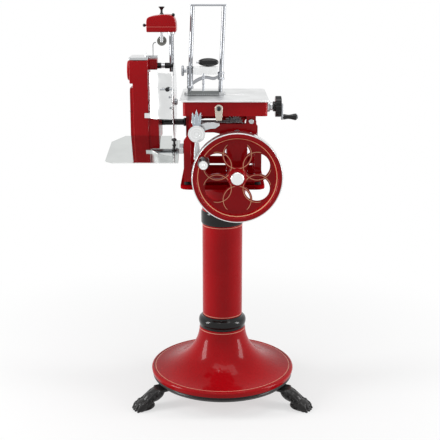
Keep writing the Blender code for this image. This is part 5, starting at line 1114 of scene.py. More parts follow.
@dataclass
class Pedestal:
    """Foot ring, trumpet base, collar, column and capital about the column's axis."""

    axis: Vector
    ring_z: float = 0.0713
    bell_z: float = 0.0916
    bell_h: float = 0.182
    rim_r: float = 0.275
    rim_w: float = 0.009
    rim_h: float = 0.021
    neck_r: float = 0.088
    wall: float = 0.008
    bore_r: float = 0.040
    sweep_steps: int = 28
    neck_line_drop: float = 0.0075
    # Radius of the line on the top edge of the rim's bead: partly a painted line, partly a painted
    # highlight where the bead catches light.
    rim_line_and_highlight_r: float = 0.2598
    collar_z: float = 0.2739
    collar_h: float = 0.047
    column_z: float = 0.3212
    column_h: float = 0.360
    column_r: float = 0.0755
    column_wall: float = 0.006
    line_inset: float = 0.0050
    cap_z: float = 0.6815
    band_h: float = 0.0522
    flare_z: float = 0.0530
    flare_h: float = 0.1000
    flare_w: float = 0.0415
    neck_ring_r: float = 0.0757

    def build(self) -> None:
        """Build every piece of the pedestal."""
        fit(self.foot_ring(), Body.STAND, IRON, "base_ring")
        # The line at the rim radius is partly a painted highlight along the bead's top edge.
        lined = BandedEnamel(
            "red_enamel_bell", RED_SLOT, CRIMSON, 0.26, centre=(self.axis.x, self.axis.y),
            heights=(self.bell_z + self.bell_h - self.neck_line_drop,),
            radii=(self.rim_line_and_highlight_r,),
        )
        fit(self.bell(), Body.STAND, lined, "base_bell")
        fit(self.collar(), Body.STAND, BLACK_ENAMEL, "column_collar")
        top_line = self.column_z + self.column_h - self.line_inset
        lined = BandedEnamel(
            "red_enamel_lined", RED_SLOT, CRIMSON, 0.24,
            heights=(self.column_z + self.line_inset, top_line),
        )
        fit(self.column(), Body.STAND, lined, "column")
        band_top = self.cap_z + self.band_h
        cap = paint(self.capital(), BLACK_ENAMEL, RED, lambda co, no: co.z > band_top)
        fit(cap, Body.STAND, BLACK_ENAMEL, "column_cap")

    def lathe(
        self, name: str, profile: Profile, height: float, steps: int, ring: bool = True
    ) -> Piece:
        """Turn a profile about the column's axis, from a height over the floor."""
        place = self.axis + Vector((0, 0, height))
        return turned(name, profile, place, steps=steps, ring=ring)

    def foot_ring(self) -> Piece:
        """Turn the black ring that the feet carry."""
        profile = [
            (0.2275, 0.0190), (0.2285, 0.0200), (0.2655, 0.0200), (0.2668, 0.0192),
            (0.2672, 0.0150), (0.2700, 0.0118), (0.2704, 0.0092), (0.2690, 0.0066),
            (0.2660, 0.0040), (0.2648, 0.0010), (0.2636, 0.0), (0.2285, 0.0),
            (0.2275, 0.0010),
        ]
        return self.lathe("foot_ring", profile, self.ring_z, 128)

    def sweep(self, radius: float, top: float) -> list[Pair]:
        """List the trumpet's curve from a radius at its neck down to its rim.

        Args:
            radius: radius at the neck.
            top: height of the neck.

        Returns:
            Points of the curve, from the neck down.
        """
        reach = self.rim_r - self.rim_w - self.neck_r
        drop = self.bell_h - self.rim_h
        turns = [math.pi / 2 * i / self.sweep_steps for i in range(1, self.sweep_steps)]
        return [(radius + reach * (1 - math.cos(t)), top - drop * math.sin(t)) for t in turns]

    def bell(self) -> Piece:
        """Turn the red trumpet base with its beaded rim."""
        top, under = self.bell_h, self.bell_h - self.wall
        outer = [p for p in self.sweep(self.neck_r, top) if p[0] < 0.2605]
        inner = [
            p for p in self.sweep(self.neck_r - self.wall, under)[::-1]
            if p[0] < 0.256 and p[1] > 0.0
        ]
        rim = [(0.2612, 0.0205), (0.2628, 0.0192), (0.2642, 0.0196)]
        rim += arc((0.2665, 0.0125), (0.0085, 0.0085), 95, -35, 10)
        rim += [(0.2732, 0.0030), (0.2722, 0.0), (0.2570, 0.0)]
        profile = [(self.bore_r, top), (self.neck_r - 0.001, top)] + outer + rim + inner
        profile += [(self.neck_r - self.wall, under), (self.bore_r, under)]
        return self.lathe("trumpet_base", profile, self.bell_z, 160)

    def collar(self) -> Piece:
        """Turn the black collar at the column's foot."""
        profile = [
            (self.bore_r, self.collar_h), (0.0762, self.collar_h), (0.0772, 0.0462),
            (0.0776, 0.0410), (0.0800, 0.0392), (0.0845, 0.0372), (0.0882, 0.0332),
            (0.0900, 0.0280), (0.0905, 0.0225), (0.0902, 0.0170), (0.0888, 0.0120),
            (0.0872, 0.0086), (0.0872, 0.0040), (0.0866, 0.0010), (0.0856, 0.0),
            (self.bore_r, 0.0),
        ]
        return self.lathe("column_foot_collar", profile, self.collar_z, 96)

    def column(self) -> Piece:
        """Turn the column's tube with its eased ends."""
        end = [(0.0012, 0.0), (0.0003, 0.0006), (0.0, 0.0016)]
        inner = self.column_r - self.column_wall
        profile = [(inner, self.column_h)]
        profile += [(self.column_r - r, self.column_h - z) for r, z in end]
        profile += [(self.column_r - r, z) for r, z in end[::-1]] + [(inner, 0.0)]
        return self.lathe("column_tube", profile, self.column_z, 128)

    def capital(self) -> Piece:
        """Turn the capital: a band below and a flare that carries the plate."""
        turns = [math.pi / 2 * i / 20 for i in range(21)]
        flare = [
            (self.neck_ring_r + self.flare_w * (1 - math.cos(t)),
             self.flare_z + self.flare_h * math.sin(t))
            for t in turns
        ]
        band = [
            (0.0, 0.0), (0.0752, 0.0), (0.0775, 0.0010), (0.0796, 0.0050), (0.0800, 0.0085),
            (0.0800, 0.0420), (0.0796, 0.0465), (0.0775, 0.0505), (0.0760, 0.0520),
        ]
        top = [(0.1180, 0.1542), (0.1180, 0.1604), (0.1172, 0.1616), (0.0, 0.1616)]
        return self.lathe("column_capital", band + flare + top, self.cap_z, 96, False)


@dataclass
class PawFoot:
    """Cast paw foot: fluted leg, scrolls on the knee, four clawed toes and a heel."""

    axis: Vector
    height: float = 0.0708
    floor_gap: float = 0.0002
    toe_pitch: float = 0.0150
    flute_pitch: float = 0.0098
    flute_r: float = 0.0042
    voxel: float = 0.0014
    crease: float = 60.0
    scrolls: tuple[Triple, ...] = (
        (0.283, 0.0560, 0.0125), (0.304, 0.0440, 0.0105), (0.320, 0.0310, 0.0085)
    )
    route: tuple[Triple, ...] = (
        (0.262, 1.0, 0.0690), (0.284, 1.0, 0.0675), (0.304, 1.02, 0.0600),
        (0.321, 1.05, 0.0480), (0.336, 1.12, 0.0370), (0.349, 1.2, 0.0290),
    )

    def eggs(self) -> list[tuple[Triple, Triple, float]]:
        """List the round lumps of a foot along X, by radii, place and lean."""
        eggs = [
            ((0.040, 0.027, 0.0235), (0.292, 0.0, 0.0480), 0.45),
            ((0.036, 0.0235, 0.022), (0.318, 0.0, 0.0370), 0.75),
            ((0.034, 0.0285, 0.0190), (0.341, 0.0, 0.0210), 0.25),
            ((0.0200, 0.0240, 0.0150), (0.318, 0.0, 0.0120), 0.0),
            ((0.0420, 0.0290, 0.0085), (0.342, 0.0, 0.0060), 0.0),
        ]
        for step in (-1.5, -0.5, 0.5, 1.5):
            across, back = step * self.toe_pitch, 0.003 * abs(step)
            eggs += [
                ((0.0195, 0.0082, 0.0145), (0.3610 - back, across, 0.0150), 0.35),
                ((0.0105, 0.0078, 0.0100), (0.3520 - back, across, 0.0270), 0.0),
                ((0.0110, 0.0042, 0.0062), (0.3750 - back, across, 0.0075), 0.55),
            ]
        for side in (-1, 1):
            for k, (reach, rise, size) in enumerate(self.scrolls):
                curl = size * 0.45
                eggs += [
                    ((size, 0.0060, size), (reach, side * (0.0255 - 0.001 * k), rise), 0.0),
                    ((curl, 0.0090, curl), (reach, side * (0.0258 - 0.001 * k), rise), 0.0),
                ]
        return eggs

    def build(self) -> None:
        """Melt one foot, trim its sole and seat, and set three of them round the ring."""
        pad = block("pad", (0.2050, -0.030, 0.0600), (0.2860, 0.030, 0.0740), 0.004)
        lumps = [blob(*egg) for egg in self.eggs()]
        flutes = [
            tube("flute", [(x, k * self.flute_pitch * wide, z) for x, wide, z in self.route],
                 self.flute_r, 12)
            for k in range(-2, 3)
        ]
        foot = gather("paw", pad, *lumps, *flutes)
        self.melt(foot)
        for height, below in ((self.floor_gap, True), (self.height, False)):
            with editing(foot):
                bpy.ops.mesh.bisect(
                    plane_co=(0, 0, height), plane_no=(0, 0, 1), use_fill=True,
                    clear_inner=below, clear_outer=not below,
                )
        tidy_mesh(foot, MERGE / 2)
        smooth(foot, math.radians(self.crease))
        for side, heading in (("left", 210.0), ("right", -30.0), ("rear", 90.0)):
            piece = twin(foot, f"paw_foot_{side}")
            move(piece, self.axis, (0.0, 0.0, math.radians(heading)))
            fit(piece, Body.STAND, IRON, f"foot_{side}")
        bpy.data.objects.remove(foot)

    def melt(self, foot: Piece) -> None:
        """Melt the overlapping lumps of a foot into one smooth skin.

        Args:
            foot: the joined lumps.
        """
        remesh = foot.modifiers.new("One skin", "REMESH")
        remesh.mode = "VOXEL"
        remesh.voxel_size = self.voxel
        even = foot.modifiers.new("Even", "SMOOTH")
        even.iterations = 3
        even.factor = 0.45
        apply_all(foot)


@dataclass
class Flywheel:
    """Flywheel with its flower openings and painted lines, hub, shaft and turning grip."""

    axis: Vector
    x: float = 0.051
    z: float = 0.8984
    front_y: float = -0.230
    rear_y: float = 0.219
    depth: float = 0.048
    web_in: float = 0.018
    web_thick: float = 0.008
    rim_w: float = 0.016
    radius: float = 0.159
    face_r: float = 0.1552
    paint_y: float = 0.0215
    petals: int = 6
    petal_r: float = 0.049
    petal_place_r: float = 0.080
    petal_margin: float = 0.0045
    lens_margin: float = 0.004
    head_z: float = 0.4453
    head_r: float = 0.0230
    grip_place_r: float = 0.133
    grip_angle: float = 150.0
    grip_h: float = 0.094
    head_gap: float = 0.0033
    grip_gap: float = 0.0023
    pin_gap: float = 0.0003
    cap_gap: float = 0.004
    soft_edge: float = 0.0009
    cutter_depth: float = 0.1
    cutter_y: float = 0.03

    def place(self, y: float, radius: float = 0.0, angle: float = 0.0) -> Vector:
        """Give a place at a depth, so far from the wheel's axis at an angle in degrees.

        Args:
            y: depth.
            radius: distance from the wheel's axis.
            angle: angle in degrees about it.

        Returns:
            The place.
        """
        turn = math.radians(angle)
        step = Vector((self.x + radius * math.cos(turn), y, self.z + radius * math.sin(turn)))
        return self.axis + step

    def cutter(self, index: int, radius: float) -> Piece:
        """Make a round cutter about one petal's centre, counted from the lowest."""
        place = self.place(self.front_y + self.cutter_y, self.petal_place_r, 60.0 * index - 90.0)
        return drill(radius, self.cutter_depth, place, Axis.FRONT, 96)

    def build(self) -> None:
        """Build the wheel, its shaft and the grip."""
        wheel = self.wheel()
        middle = self.place(0.0)
        lined = WheelEnamel(
            "red_enamel_flower", RED_SLOT, CRIMSON, 0.24,
            centre=(middle.x, middle.z), front=self.axis.y + self.front_y + self.paint_y,
        )
        rim = Faced("faced_rim", "steel", (0.78, 0.79, 0.79), 0.22, tuple(middle), 1, 0.0006)
        edge = self.face_r + 0.0002
        paint(
            wheel, lined, rim,
            lambda co, no: math.hypot(co.x - middle.x, co.z - middle.z) > edge,
        )
        fit(wheel, Body.FLYWHEEL, lined, "flywheel")
        # The shaft's domed head takes the lighter chrome, a painted reflection.
        fit(self.shaft(), Body.FLYWHEEL, LIT_CHROME, "flywheel_shaft")
        self.grip()

    def wheel(self) -> Piece:
        """Turn the dished wheel and cut its petals and the lenses where petals cross."""
        web, deep, wide = self.depth - self.web_in, self.depth, self.radius
        inner, back = self.radius - self.rim_w, self.depth - self.web_in - self.web_thick
        profile = [
            (0.0113, 0.051), (0.0272, 0.051), (0.0280, 0.0502), (0.0284, 0.0400),
            (0.0300, 0.0345), (0.0335, 0.0312), (0.0380, web),
            (inner - 0.0170, web), (inner - 0.0110, web + 0.0012),
            (inner - 0.0040, web + 0.0120), (inner - 0.0012, deep - 0.0022),
            (inner + 0.0008, deep - 0.0005), (inner + 0.0030, deep),
            (self.face_r, deep), (self.face_r + 0.0006, deep - 0.0012),
            (wide - 0.0020, deep - 0.0012), (wide - 0.0006, deep - 0.0018),
            (wide, deep - 0.0034), (wide, 0.0034), (wide - 0.0008, 0.0012),
            (wide - 0.0024, 0.0), (inner + 0.0012, 0.0), (inner, 0.0014),
            (inner, web - 0.0100), (inner - 0.0030, back), (0.0380, back),
            (0.0300, 0.0150), (0.0280, 0.0040), (0.0280, -0.0022), (0.0272, -0.003),
            (0.0113, -0.003),
        ]
        place = self.place(self.front_y + self.depth)
        wheel = turned("flower_wheel", profile, place, Axis.FRONT, 164, ring=True)
        small, large = self.petal_r - self.petal_margin, self.petal_r + self.petal_margin
        lens_r = self.petal_r - self.lens_margin
        for i in range(self.petals):
            lens = combine(self.cutter(i, lens_r), "INTERSECT", [self.cutter(i + 1, lens_r)])
            carve(wheel, lens)
            if i:
                petal = self.cutter(i, small)
                carve(petal, self.cutter(i - 1, large), self.cutter(i + 1, large))
                carve(wheel, petal)
        return smooth(soften(tidy_mesh(wheel), self.soft_edge, 2))

    def shaft(self) -> Piece:
        """Turn the shaft with its domed head, stretched to reach the machine's back."""
        head, wide = self.head_z, self.head_r
        rear = self.axis.y + self.rear_y
        grown = rear - (self.axis.y + self.front_y - self.head_gap)
        profile = [(0.0, 0.0), (0.0098, 0.0), (0.0110, 0.0012), (0.0110, head)]
        profile += [(0.0222, head), (wide, head + 0.0008), (wide, head + 0.0038)]
        profile += arc((0.0, head + 0.0044), (wide, 0.0072), 8, 88, 10)
        profile += [(0.0, head + 0.0116)]
        profile = [(r, z * grown / head if z <= head else z + grown - head) for r, z in profile]
        place = (self.axis.x + self.x, rear, self.z)
        return turned("wheel_shaft", profile, place, Axis.FRONT)

    def grip(self) -> None:
        """Turn the black grip and its chromed pin with the end cap."""
        body = eased(
            [
                (0.0122, 0.0), (0.0138, 0.0040), (0.0146, 0.0110), (0.0162, 0.0220),
                (0.0186, 0.0350), (0.0201, 0.0500), (0.0204, 0.0620), (0.0196, 0.0760),
                (0.0182, 0.0870), (0.0170, 0.0930),
            ],
            5,
        )
        profile = [(0.0064, 0.0), *body, (0.0160, self.grip_h), (0.0064, self.grip_h)]
        place = self.place(self.front_y - self.grip_gap, self.grip_place_r, self.grip_angle)
        grip = turned("black_grip", profile, place, Axis.FRONT, ring=True)
        fit(grip, Body.GRIP, BAKELITE, "crank_grip")
        reach = self.grip_h + self.cap_gap
        cap = [
            (0.0060, 0.0), (0.0140, 0.0), (0.0148, 0.0006), (0.0150, 0.0020),
            (0.0150, 0.0058), (0.0142, 0.0080), (0.0125, 0.0090), (0.0092, 0.0090),
            (0.0086, 0.0078), (0.0034, 0.0078), (0.0028, 0.0084), (0.0, 0.0084),
        ]
        profile = [(0.0, 0.0), (0.0100, 0.0), (0.0100, 0.0012), (0.0060, 0.0014)]
        profile += [(r, reach + z) for r, z in cap]
        place = self.place(self.front_y - self.pin_gap, self.grip_place_r, self.grip_angle)
        pin = turned("grip_pin_cap", profile, place, Axis.FRONT, 48)
        # The pin and its end cap take the lighter chrome, a painted reflection.
        fit(pin, Body.FLYWHEEL, LIT_CHROME, "grip_pin")


@dataclass
class Castings:
    """Castings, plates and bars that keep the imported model's form, with rounded edges."""

    nodes: dict[str, Piece]

    def build(self) -> None:
        """Recast every one of them and dress it."""
        plan = (
            ("top_plate", "stand_top_plate", 0.0025, 3, Body.STAND, SATIN_RED),
            ("machine_base", "machine_frame", 0.0045, 3, Body.STAND, RED),
            ("knife_casing", "chain_casing", 0.0036, 3, Body.STAND, RED),
            ("casing_cap", "casing_top_plate", 0.0018, 3, Body.STAND, NICKEL),
            ("deflector", "slice_deflector", 0.0006, 3, Body.STAND, SHEET_METAL),
            ("tray", "slice_tray", 0.0007, 3, Body.STAND, MIRROR),
            ("tray_arm", "tray_carrier", 0.0022, 3, Body.STAND, CAST_ALUMINIUM),
            ("carriage_body", "carriage_apron", 0.0030, 3, Body.CARRIAGE, RED),
            ("table_plate", "meat_table", 0.0012, 3, Body.CARRIAGE, ALUMINIUM),
            ("clamp_base", "clamp_foot", 0.0028, 3, Body.CLAMP, CAST_ALUMINIUM),
            ("clamp_crossbar", "clamp_bar", 0.0016, 3, Body.CLAMP, CHROME),
            ("feed_crank", "feed_crank_arm", 0.0012, 3, Body.SCREW, CHROME),
            ("sharpener_head", "sharpener_carrier", 0.0012, 3, Body.SHARPENER, CAST_ALUMINIUM),
            ("knife_shaft", "knife_spindle", 0.0006, 2, Body.KNIFE, CHROME),
            ("deflector_knob", "deflector_button", 0.0008, 2, Body.STAND, BAKELITE),
            ("tray_knob", "tray_button", 0.0008, 2, Body.STAND, BAKELITE),
        )
        for node, name, width, segments, body, finish in plan:
            fit(self.recast(node, name, width, segments), body, finish, node)
        paint(bpy.data.objects["machine_frame"], RED, SATIN_RED, lambda co, no: no.z > 0.7)

    def recast(self, node: str, name: str, width: float, segments: int) -> Piece:
        """Copy a node, join its triangles into plain faces and round its edges.

        Args:
            node: the CAD node.
            name: name of the piece.
            width: width of the rounded edges.
            segments: how many steps round an edge.

        Returns:
            The piece.
        """
        piece = bpy.data.objects.new(name, self.nodes[node].data.copy())
        bpy.context.scene.collection.objects.link(piece)
        piece.data.materials.clear()
        with editing(piece):
            bpy.ops.mesh.remove_doubles(threshold=MERGE)
            bpy.ops.mesh.dissolve_limited(angle_limit=FLAT_ANGLE)
            bpy.ops.mesh.normals_make_consistent(inside=False)
        return smooth(soften(piece, width, segments))

    def dress_hidden(self) -> None:
        """Give the gears and shafts that keep their CAD shape their ground steel."""
        for name, node in self.nodes.items():
            if not node.hide_render:
                node.data.materials.clear()
                node.data.materials.append(STEEL.material())
                LOG.info("%s: kept, in %s", name, STEEL.name)


@dataclass
class Machine:
    """Round parts of the machine: its feet, the rails, the cross sleeve and the dial."""

    stalk_half: float = 0.011
    stalk_step: float = 0.034
    stalk_thick: float = 0.010
    arm_rise: float = 0.012
    arm_thick: float = 0.007
    arm_y: float = 0.0065
    fin_lean: float = 11.0
    fin_half: float = 0.0078
    fin_start: float = 0.012
    fin_thick: float = 0.007
    fin_y: Pair = (0.0048, 0.0090)
    side_fin: float = 0.90

    def build(self) -> None:
        """Build every round part."""
        foot = [
            (0.0, 0.0), (0.86, 0.0), (0.95, 0.04), (1.0, 0.14), (0.98, 0.42), (0.90, 0.62),
            (0.86, 0.92), (0.80, 1.0), (0.0, 1.0),
        ]
        for i in range(1, 5):
            piece = Seat(f"machine_foot_{i}").lathe(f"rubber_foot_{i}", foot)
            fit(piece, Body.STAND, RUBBER, f"machine_foot_{i}")
        rail = [(0.0, 0.0), (0.86, 0.0), (1.0, 0.003), (1.0, 0.997), (0.86, 1.0), (0.0, 1.0)]
        for side in ("left", "right"):
            piece = Seat(f"rail_{side}").lathe(f"guide_rail_{side}", rail, Axis.BACK, 48)
            fit(piece, Body.STAND, ROD_STEEL, f"rail_{side}")
        sleeve = [
            (0.56, 0.0), (0.96, 0.0), (1.0, 0.03), (1.0, 0.085), (0.96, 0.10), (0.76, 0.115),
            (0.72, 0.15), (0.72, 0.86), (0.75, 0.89), (0.75, 0.97), (0.72, 1.0), (0.56, 1.0),
        ]
        piece = Seat("cross_sleeve").lathe("cross_shaft_sleeve", sleeve, Axis.LEFT, ring=True)
        fit(piece, Body.STAND, BLACK_ENAMEL, "cross_sleeve")
        dial = Seat("thickness_dial")
        self.stalk(dial)
        self.fins(dial)
        self.dial(dial)

    def stalk(self, dial: Seat) -> None:
        """Draw the dial's cast stalk, and weld its boss and the pointer arm to it.

        Args:
            dial: box of the dial.
        """
        seat = Seat("dial_bracket")
        x, z, back = dial.middle.x, dial.middle.z, seat.high.y
        half, bottom, rise = self.stalk_half, seat.low.z - dial.middle.z, self.arm_rise
        side = [(half, bottom), (half * 0.92, bottom + self.stalk_step), (0.0066, -0.032),
                (0.0085, 0.0)]
        outline = [(-half, bottom), *side] + [(-u, v) for u, v in side[:0:-1]]
        stalk = plate(
            "dial_stalk", outline, self.stalk_thick, (x, back - self.stalk_thick / 2, z),
            Facing.FRONT, 0.0022,
        )
        section = [
            (0.0, 0.0), (0.0222, 0.0), (0.0222, 0.024), (0.0205, 0.0262), (0.0185, 0.0312),
            (0.0, 0.0312),
        ]
        boss = turned("dial_boss", section, (x, back, z), Axis.FRONT, 56)
        reach = seat.high.x - x
        arm = [
            (0.0, -0.018), (0.25, -0.008), (0.56, 0.0), (0.82, 0.002), (1.0, 0.012),
            (1.0 - 0.001 / reach, 0.021), (0.75, 0.0245), (0.44, 0.0235), (0.15, 0.018),
            (0.0, 0.010),
        ]
        pointer = plate(
            "pointer_arm", [(reach * u, rise + v) for u, v in arm], self.arm_thick,
            (x, back - self.arm_y, z), Facing.FRONT, 0.0018,
        )
        weld(stalk, boss, pointer)
        fit(smooth(soften(stalk, 0.0006, 2)), Body.STAND, CAST_ALUMINIUM, "dial_bracket")

    def fins(self, dial: Seat) -> None:
        """Draw the three pointed fins over the dial, the middle one upright and in front.

        Args:
            dial: box of the dial.
        """
        seat = Seat("dial_bracket")
        full, half, start = seat.high.z - dial.middle.z, self.fin_half, self.fin_start
        for i, lean in enumerate((-self.fin_lean, 0.0, self.fin_lean), 1):
            tall = full * self.side_fin if lean else full - 0.0005
            side = [
                (half, start), (0.0086, tall * 0.42), (0.0070, tall * 0.66),
                (0.0040, tall * 0.86), (0.0010, tall),
            ]
            outline = [(-half, start), *side] + [(-u, v) for u, v in side[:0:-1]]
            fin = plate(f"dial_fin_{i}", outline, self.fin_thick, ORIGIN, Facing.FRONT, 0.0030)
            place = (dial.middle.x, seat.low.y + self.fin_y[lean != 0.0], dial.middle.z)
            move(fin, place, (0.0, math.radians(lean), 0.0))
            # The fins' blue-grey tint is a painted reflection.
            fit(smooth(fin), Body.STAND, FIN_STEEL, "dial_bracket")

    def dial(self, seat: Seat) -> None:
        """Turn the thickness dial with its rings and centre button.

        Args:
            seat: box of the dial.
        """
        profile = [
            (0.0, 0.0), (0.92, 0.0), (0.97, 0.05), (1.0, 0.16), (1.0, 0.62), (0.97, 0.78),
            (0.92, 0.84), (0.88, 0.84), (0.86, 0.78), (0.83, 0.78), (0.81, 0.88), (0.70, 0.92),
            (0.58, 0.92), (0.56, 0.84), (0.53, 0.84), (0.51, 0.93), (0.34, 0.96), (0.30, 0.88),
            (0.27, 0.88), (0.24, 0.97), (0.20, 0.99), (0.10, 1.0), (0.0, 1.0),
        ]
        middle = tuple(seat.middle)
        faced = Faced("faced_dial", "aluminium", (0.82, 0.83, 0.83), 0.22, middle, 1, 0.0009)
        dial = seat.lathe("slice_dial", profile, Axis.FRONT, 96)
        fit(dial, Body.DIAL, faced, "thickness_dial")


@dataclass
class KnifeSide:
    """Blade, and the lip, rod and screws of the deflector and the casing."""

    bevel: float = 0.016
    blade_r: float = 0.140
    lip_half: float = 0.0008
    lip_h: float = 0.018
    rod_r: float = 0.0030
    rod_y: float = 0.002
    rod_ends: Pair = (0.026, 0.0012)
    lip_screws: tuple[Pair, ...] = ((0.0086, 0.0844), (0.0060, 0.1227))
    screw_r: float = 0.0032
    screw_x: float = 0.0112
    screw_y: Pair = (0.014, 0.100)
    screw_z: Triple = (0.020, 0.120, 0.150)
    slot_half: Pair = (0.0045, 0.0004)

    def build(self) -> None:
        """Build the blade and the fittings beside it."""
        seat = Seat("blade")
        profile = [
            (0.112, 1.0), (1.0 - self.bevel / self.blade_r, 1.0), (0.9985, 0.16), (1.0, 0.08),
            (0.9985, 0.0), (0.112, 0.0),
        ]
        middle = tuple(seat.middle)
        ground = Faced("ground_knife", "steel", (0.66, 0.67, 0.68), 0.16, middle, 0, 0.0005)
        blade = seat.lathe("round_knife", profile, Axis.X, 192, ring=True)
        fit(blade, Body.KNIFE, ground, "blade")
        self.lip()
        self.casing_screws()

    def lip(self) -> None:
        """Bend the flared lip at the deflector's lower corner, and set its rod and screws."""
        low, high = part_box("deflector")
        reach, rear, half = high.x - low.x, high.y - low.y, self.lip_half
        route = (
            (0.350, 0.325), (0.245, 0.470), (0.152, 0.620), (0.070, 0.730), (-0.022, 0.762),
            (-0.178, 0.772),
        )
        section = eased([(low.x + u * reach, low.y + v * rear) for u, v in route], 4)
        outline = [(x, y + half) for x, y in section] + [(x, y - half) for x, y in section[::-1]]
        place = (0.0, 0.0, low.z + self.lip_h / 2)
        lip = plate("deflector_lip", outline, self.lip_h, place, Facing.TOP, 0.0005, 2)
        fit(lip, Body.STAND, SHEET_METAL)
        knob = Seat("deflector_knob").middle
        ends = (knob.x - self.rod_ends[0], high.x + self.rod_ends[1])
        route = [(x, knob.y + self.rod_y, knob.z) for x in ends]
        fit(tube("deflector_rod", route, self.rod_r, 24), Body.STAND, CHROME)
        head = [
            (0.0, -0.0010), (0.0030, -0.0010), (0.0038, 0.0004), (0.0036, 0.0016),
            (0.0022, 0.0022), (0.0, 0.0024),
        ]
        for i, (inset, drop) in enumerate(self.lip_screws, 1):
            place = (high.x - inset, low.y + 0.11 * inset, high.z - drop)
            fit(turned(f"deflector_screw_{i}", head, place, Axis.FRONT, 32), Body.STAND, CHROME)

    def casing_screws(self) -> None:
        """Set the slotted screws that hold the casing's cover, one copy each."""
        low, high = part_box("knife_casing")
        head = [
            (0.0, 0.0), (self.screw_r, 0.0), (self.screw_r, 0.0010), (0.0028, 0.0019),
            (0.0016, 0.0024), (0.0, 0.0026),
        ]
        face, near, far = low.x + self.screw_x, low.y + self.screw_y[0], high.y - self.screw_y[1]
        foot, middle, top = (low.z + rise for rise in self.screw_z)
        start = Vector((face, near, foot))
        first = turned("casing_screw_1", head, start, Axis.LEFT, 32)
        slot_low = start - Vector((0.0040, *self.slot_half))
        slot_high = start + Vector((-0.0016, *self.slot_half))
        smooth(carve(first, block("slot", slot_low, slot_high, 0.0001, 1)))
        for i, (y, z) in enumerate(((far, foot), (near, middle), (far, top)), 2):
            step = Vector((face, y, z)) - start
            fit(move(twin(first, f"casing_screw_{i}"), step), Body.STAND, NICKEL)
        fit(first, Body.STAND, NICKEL)


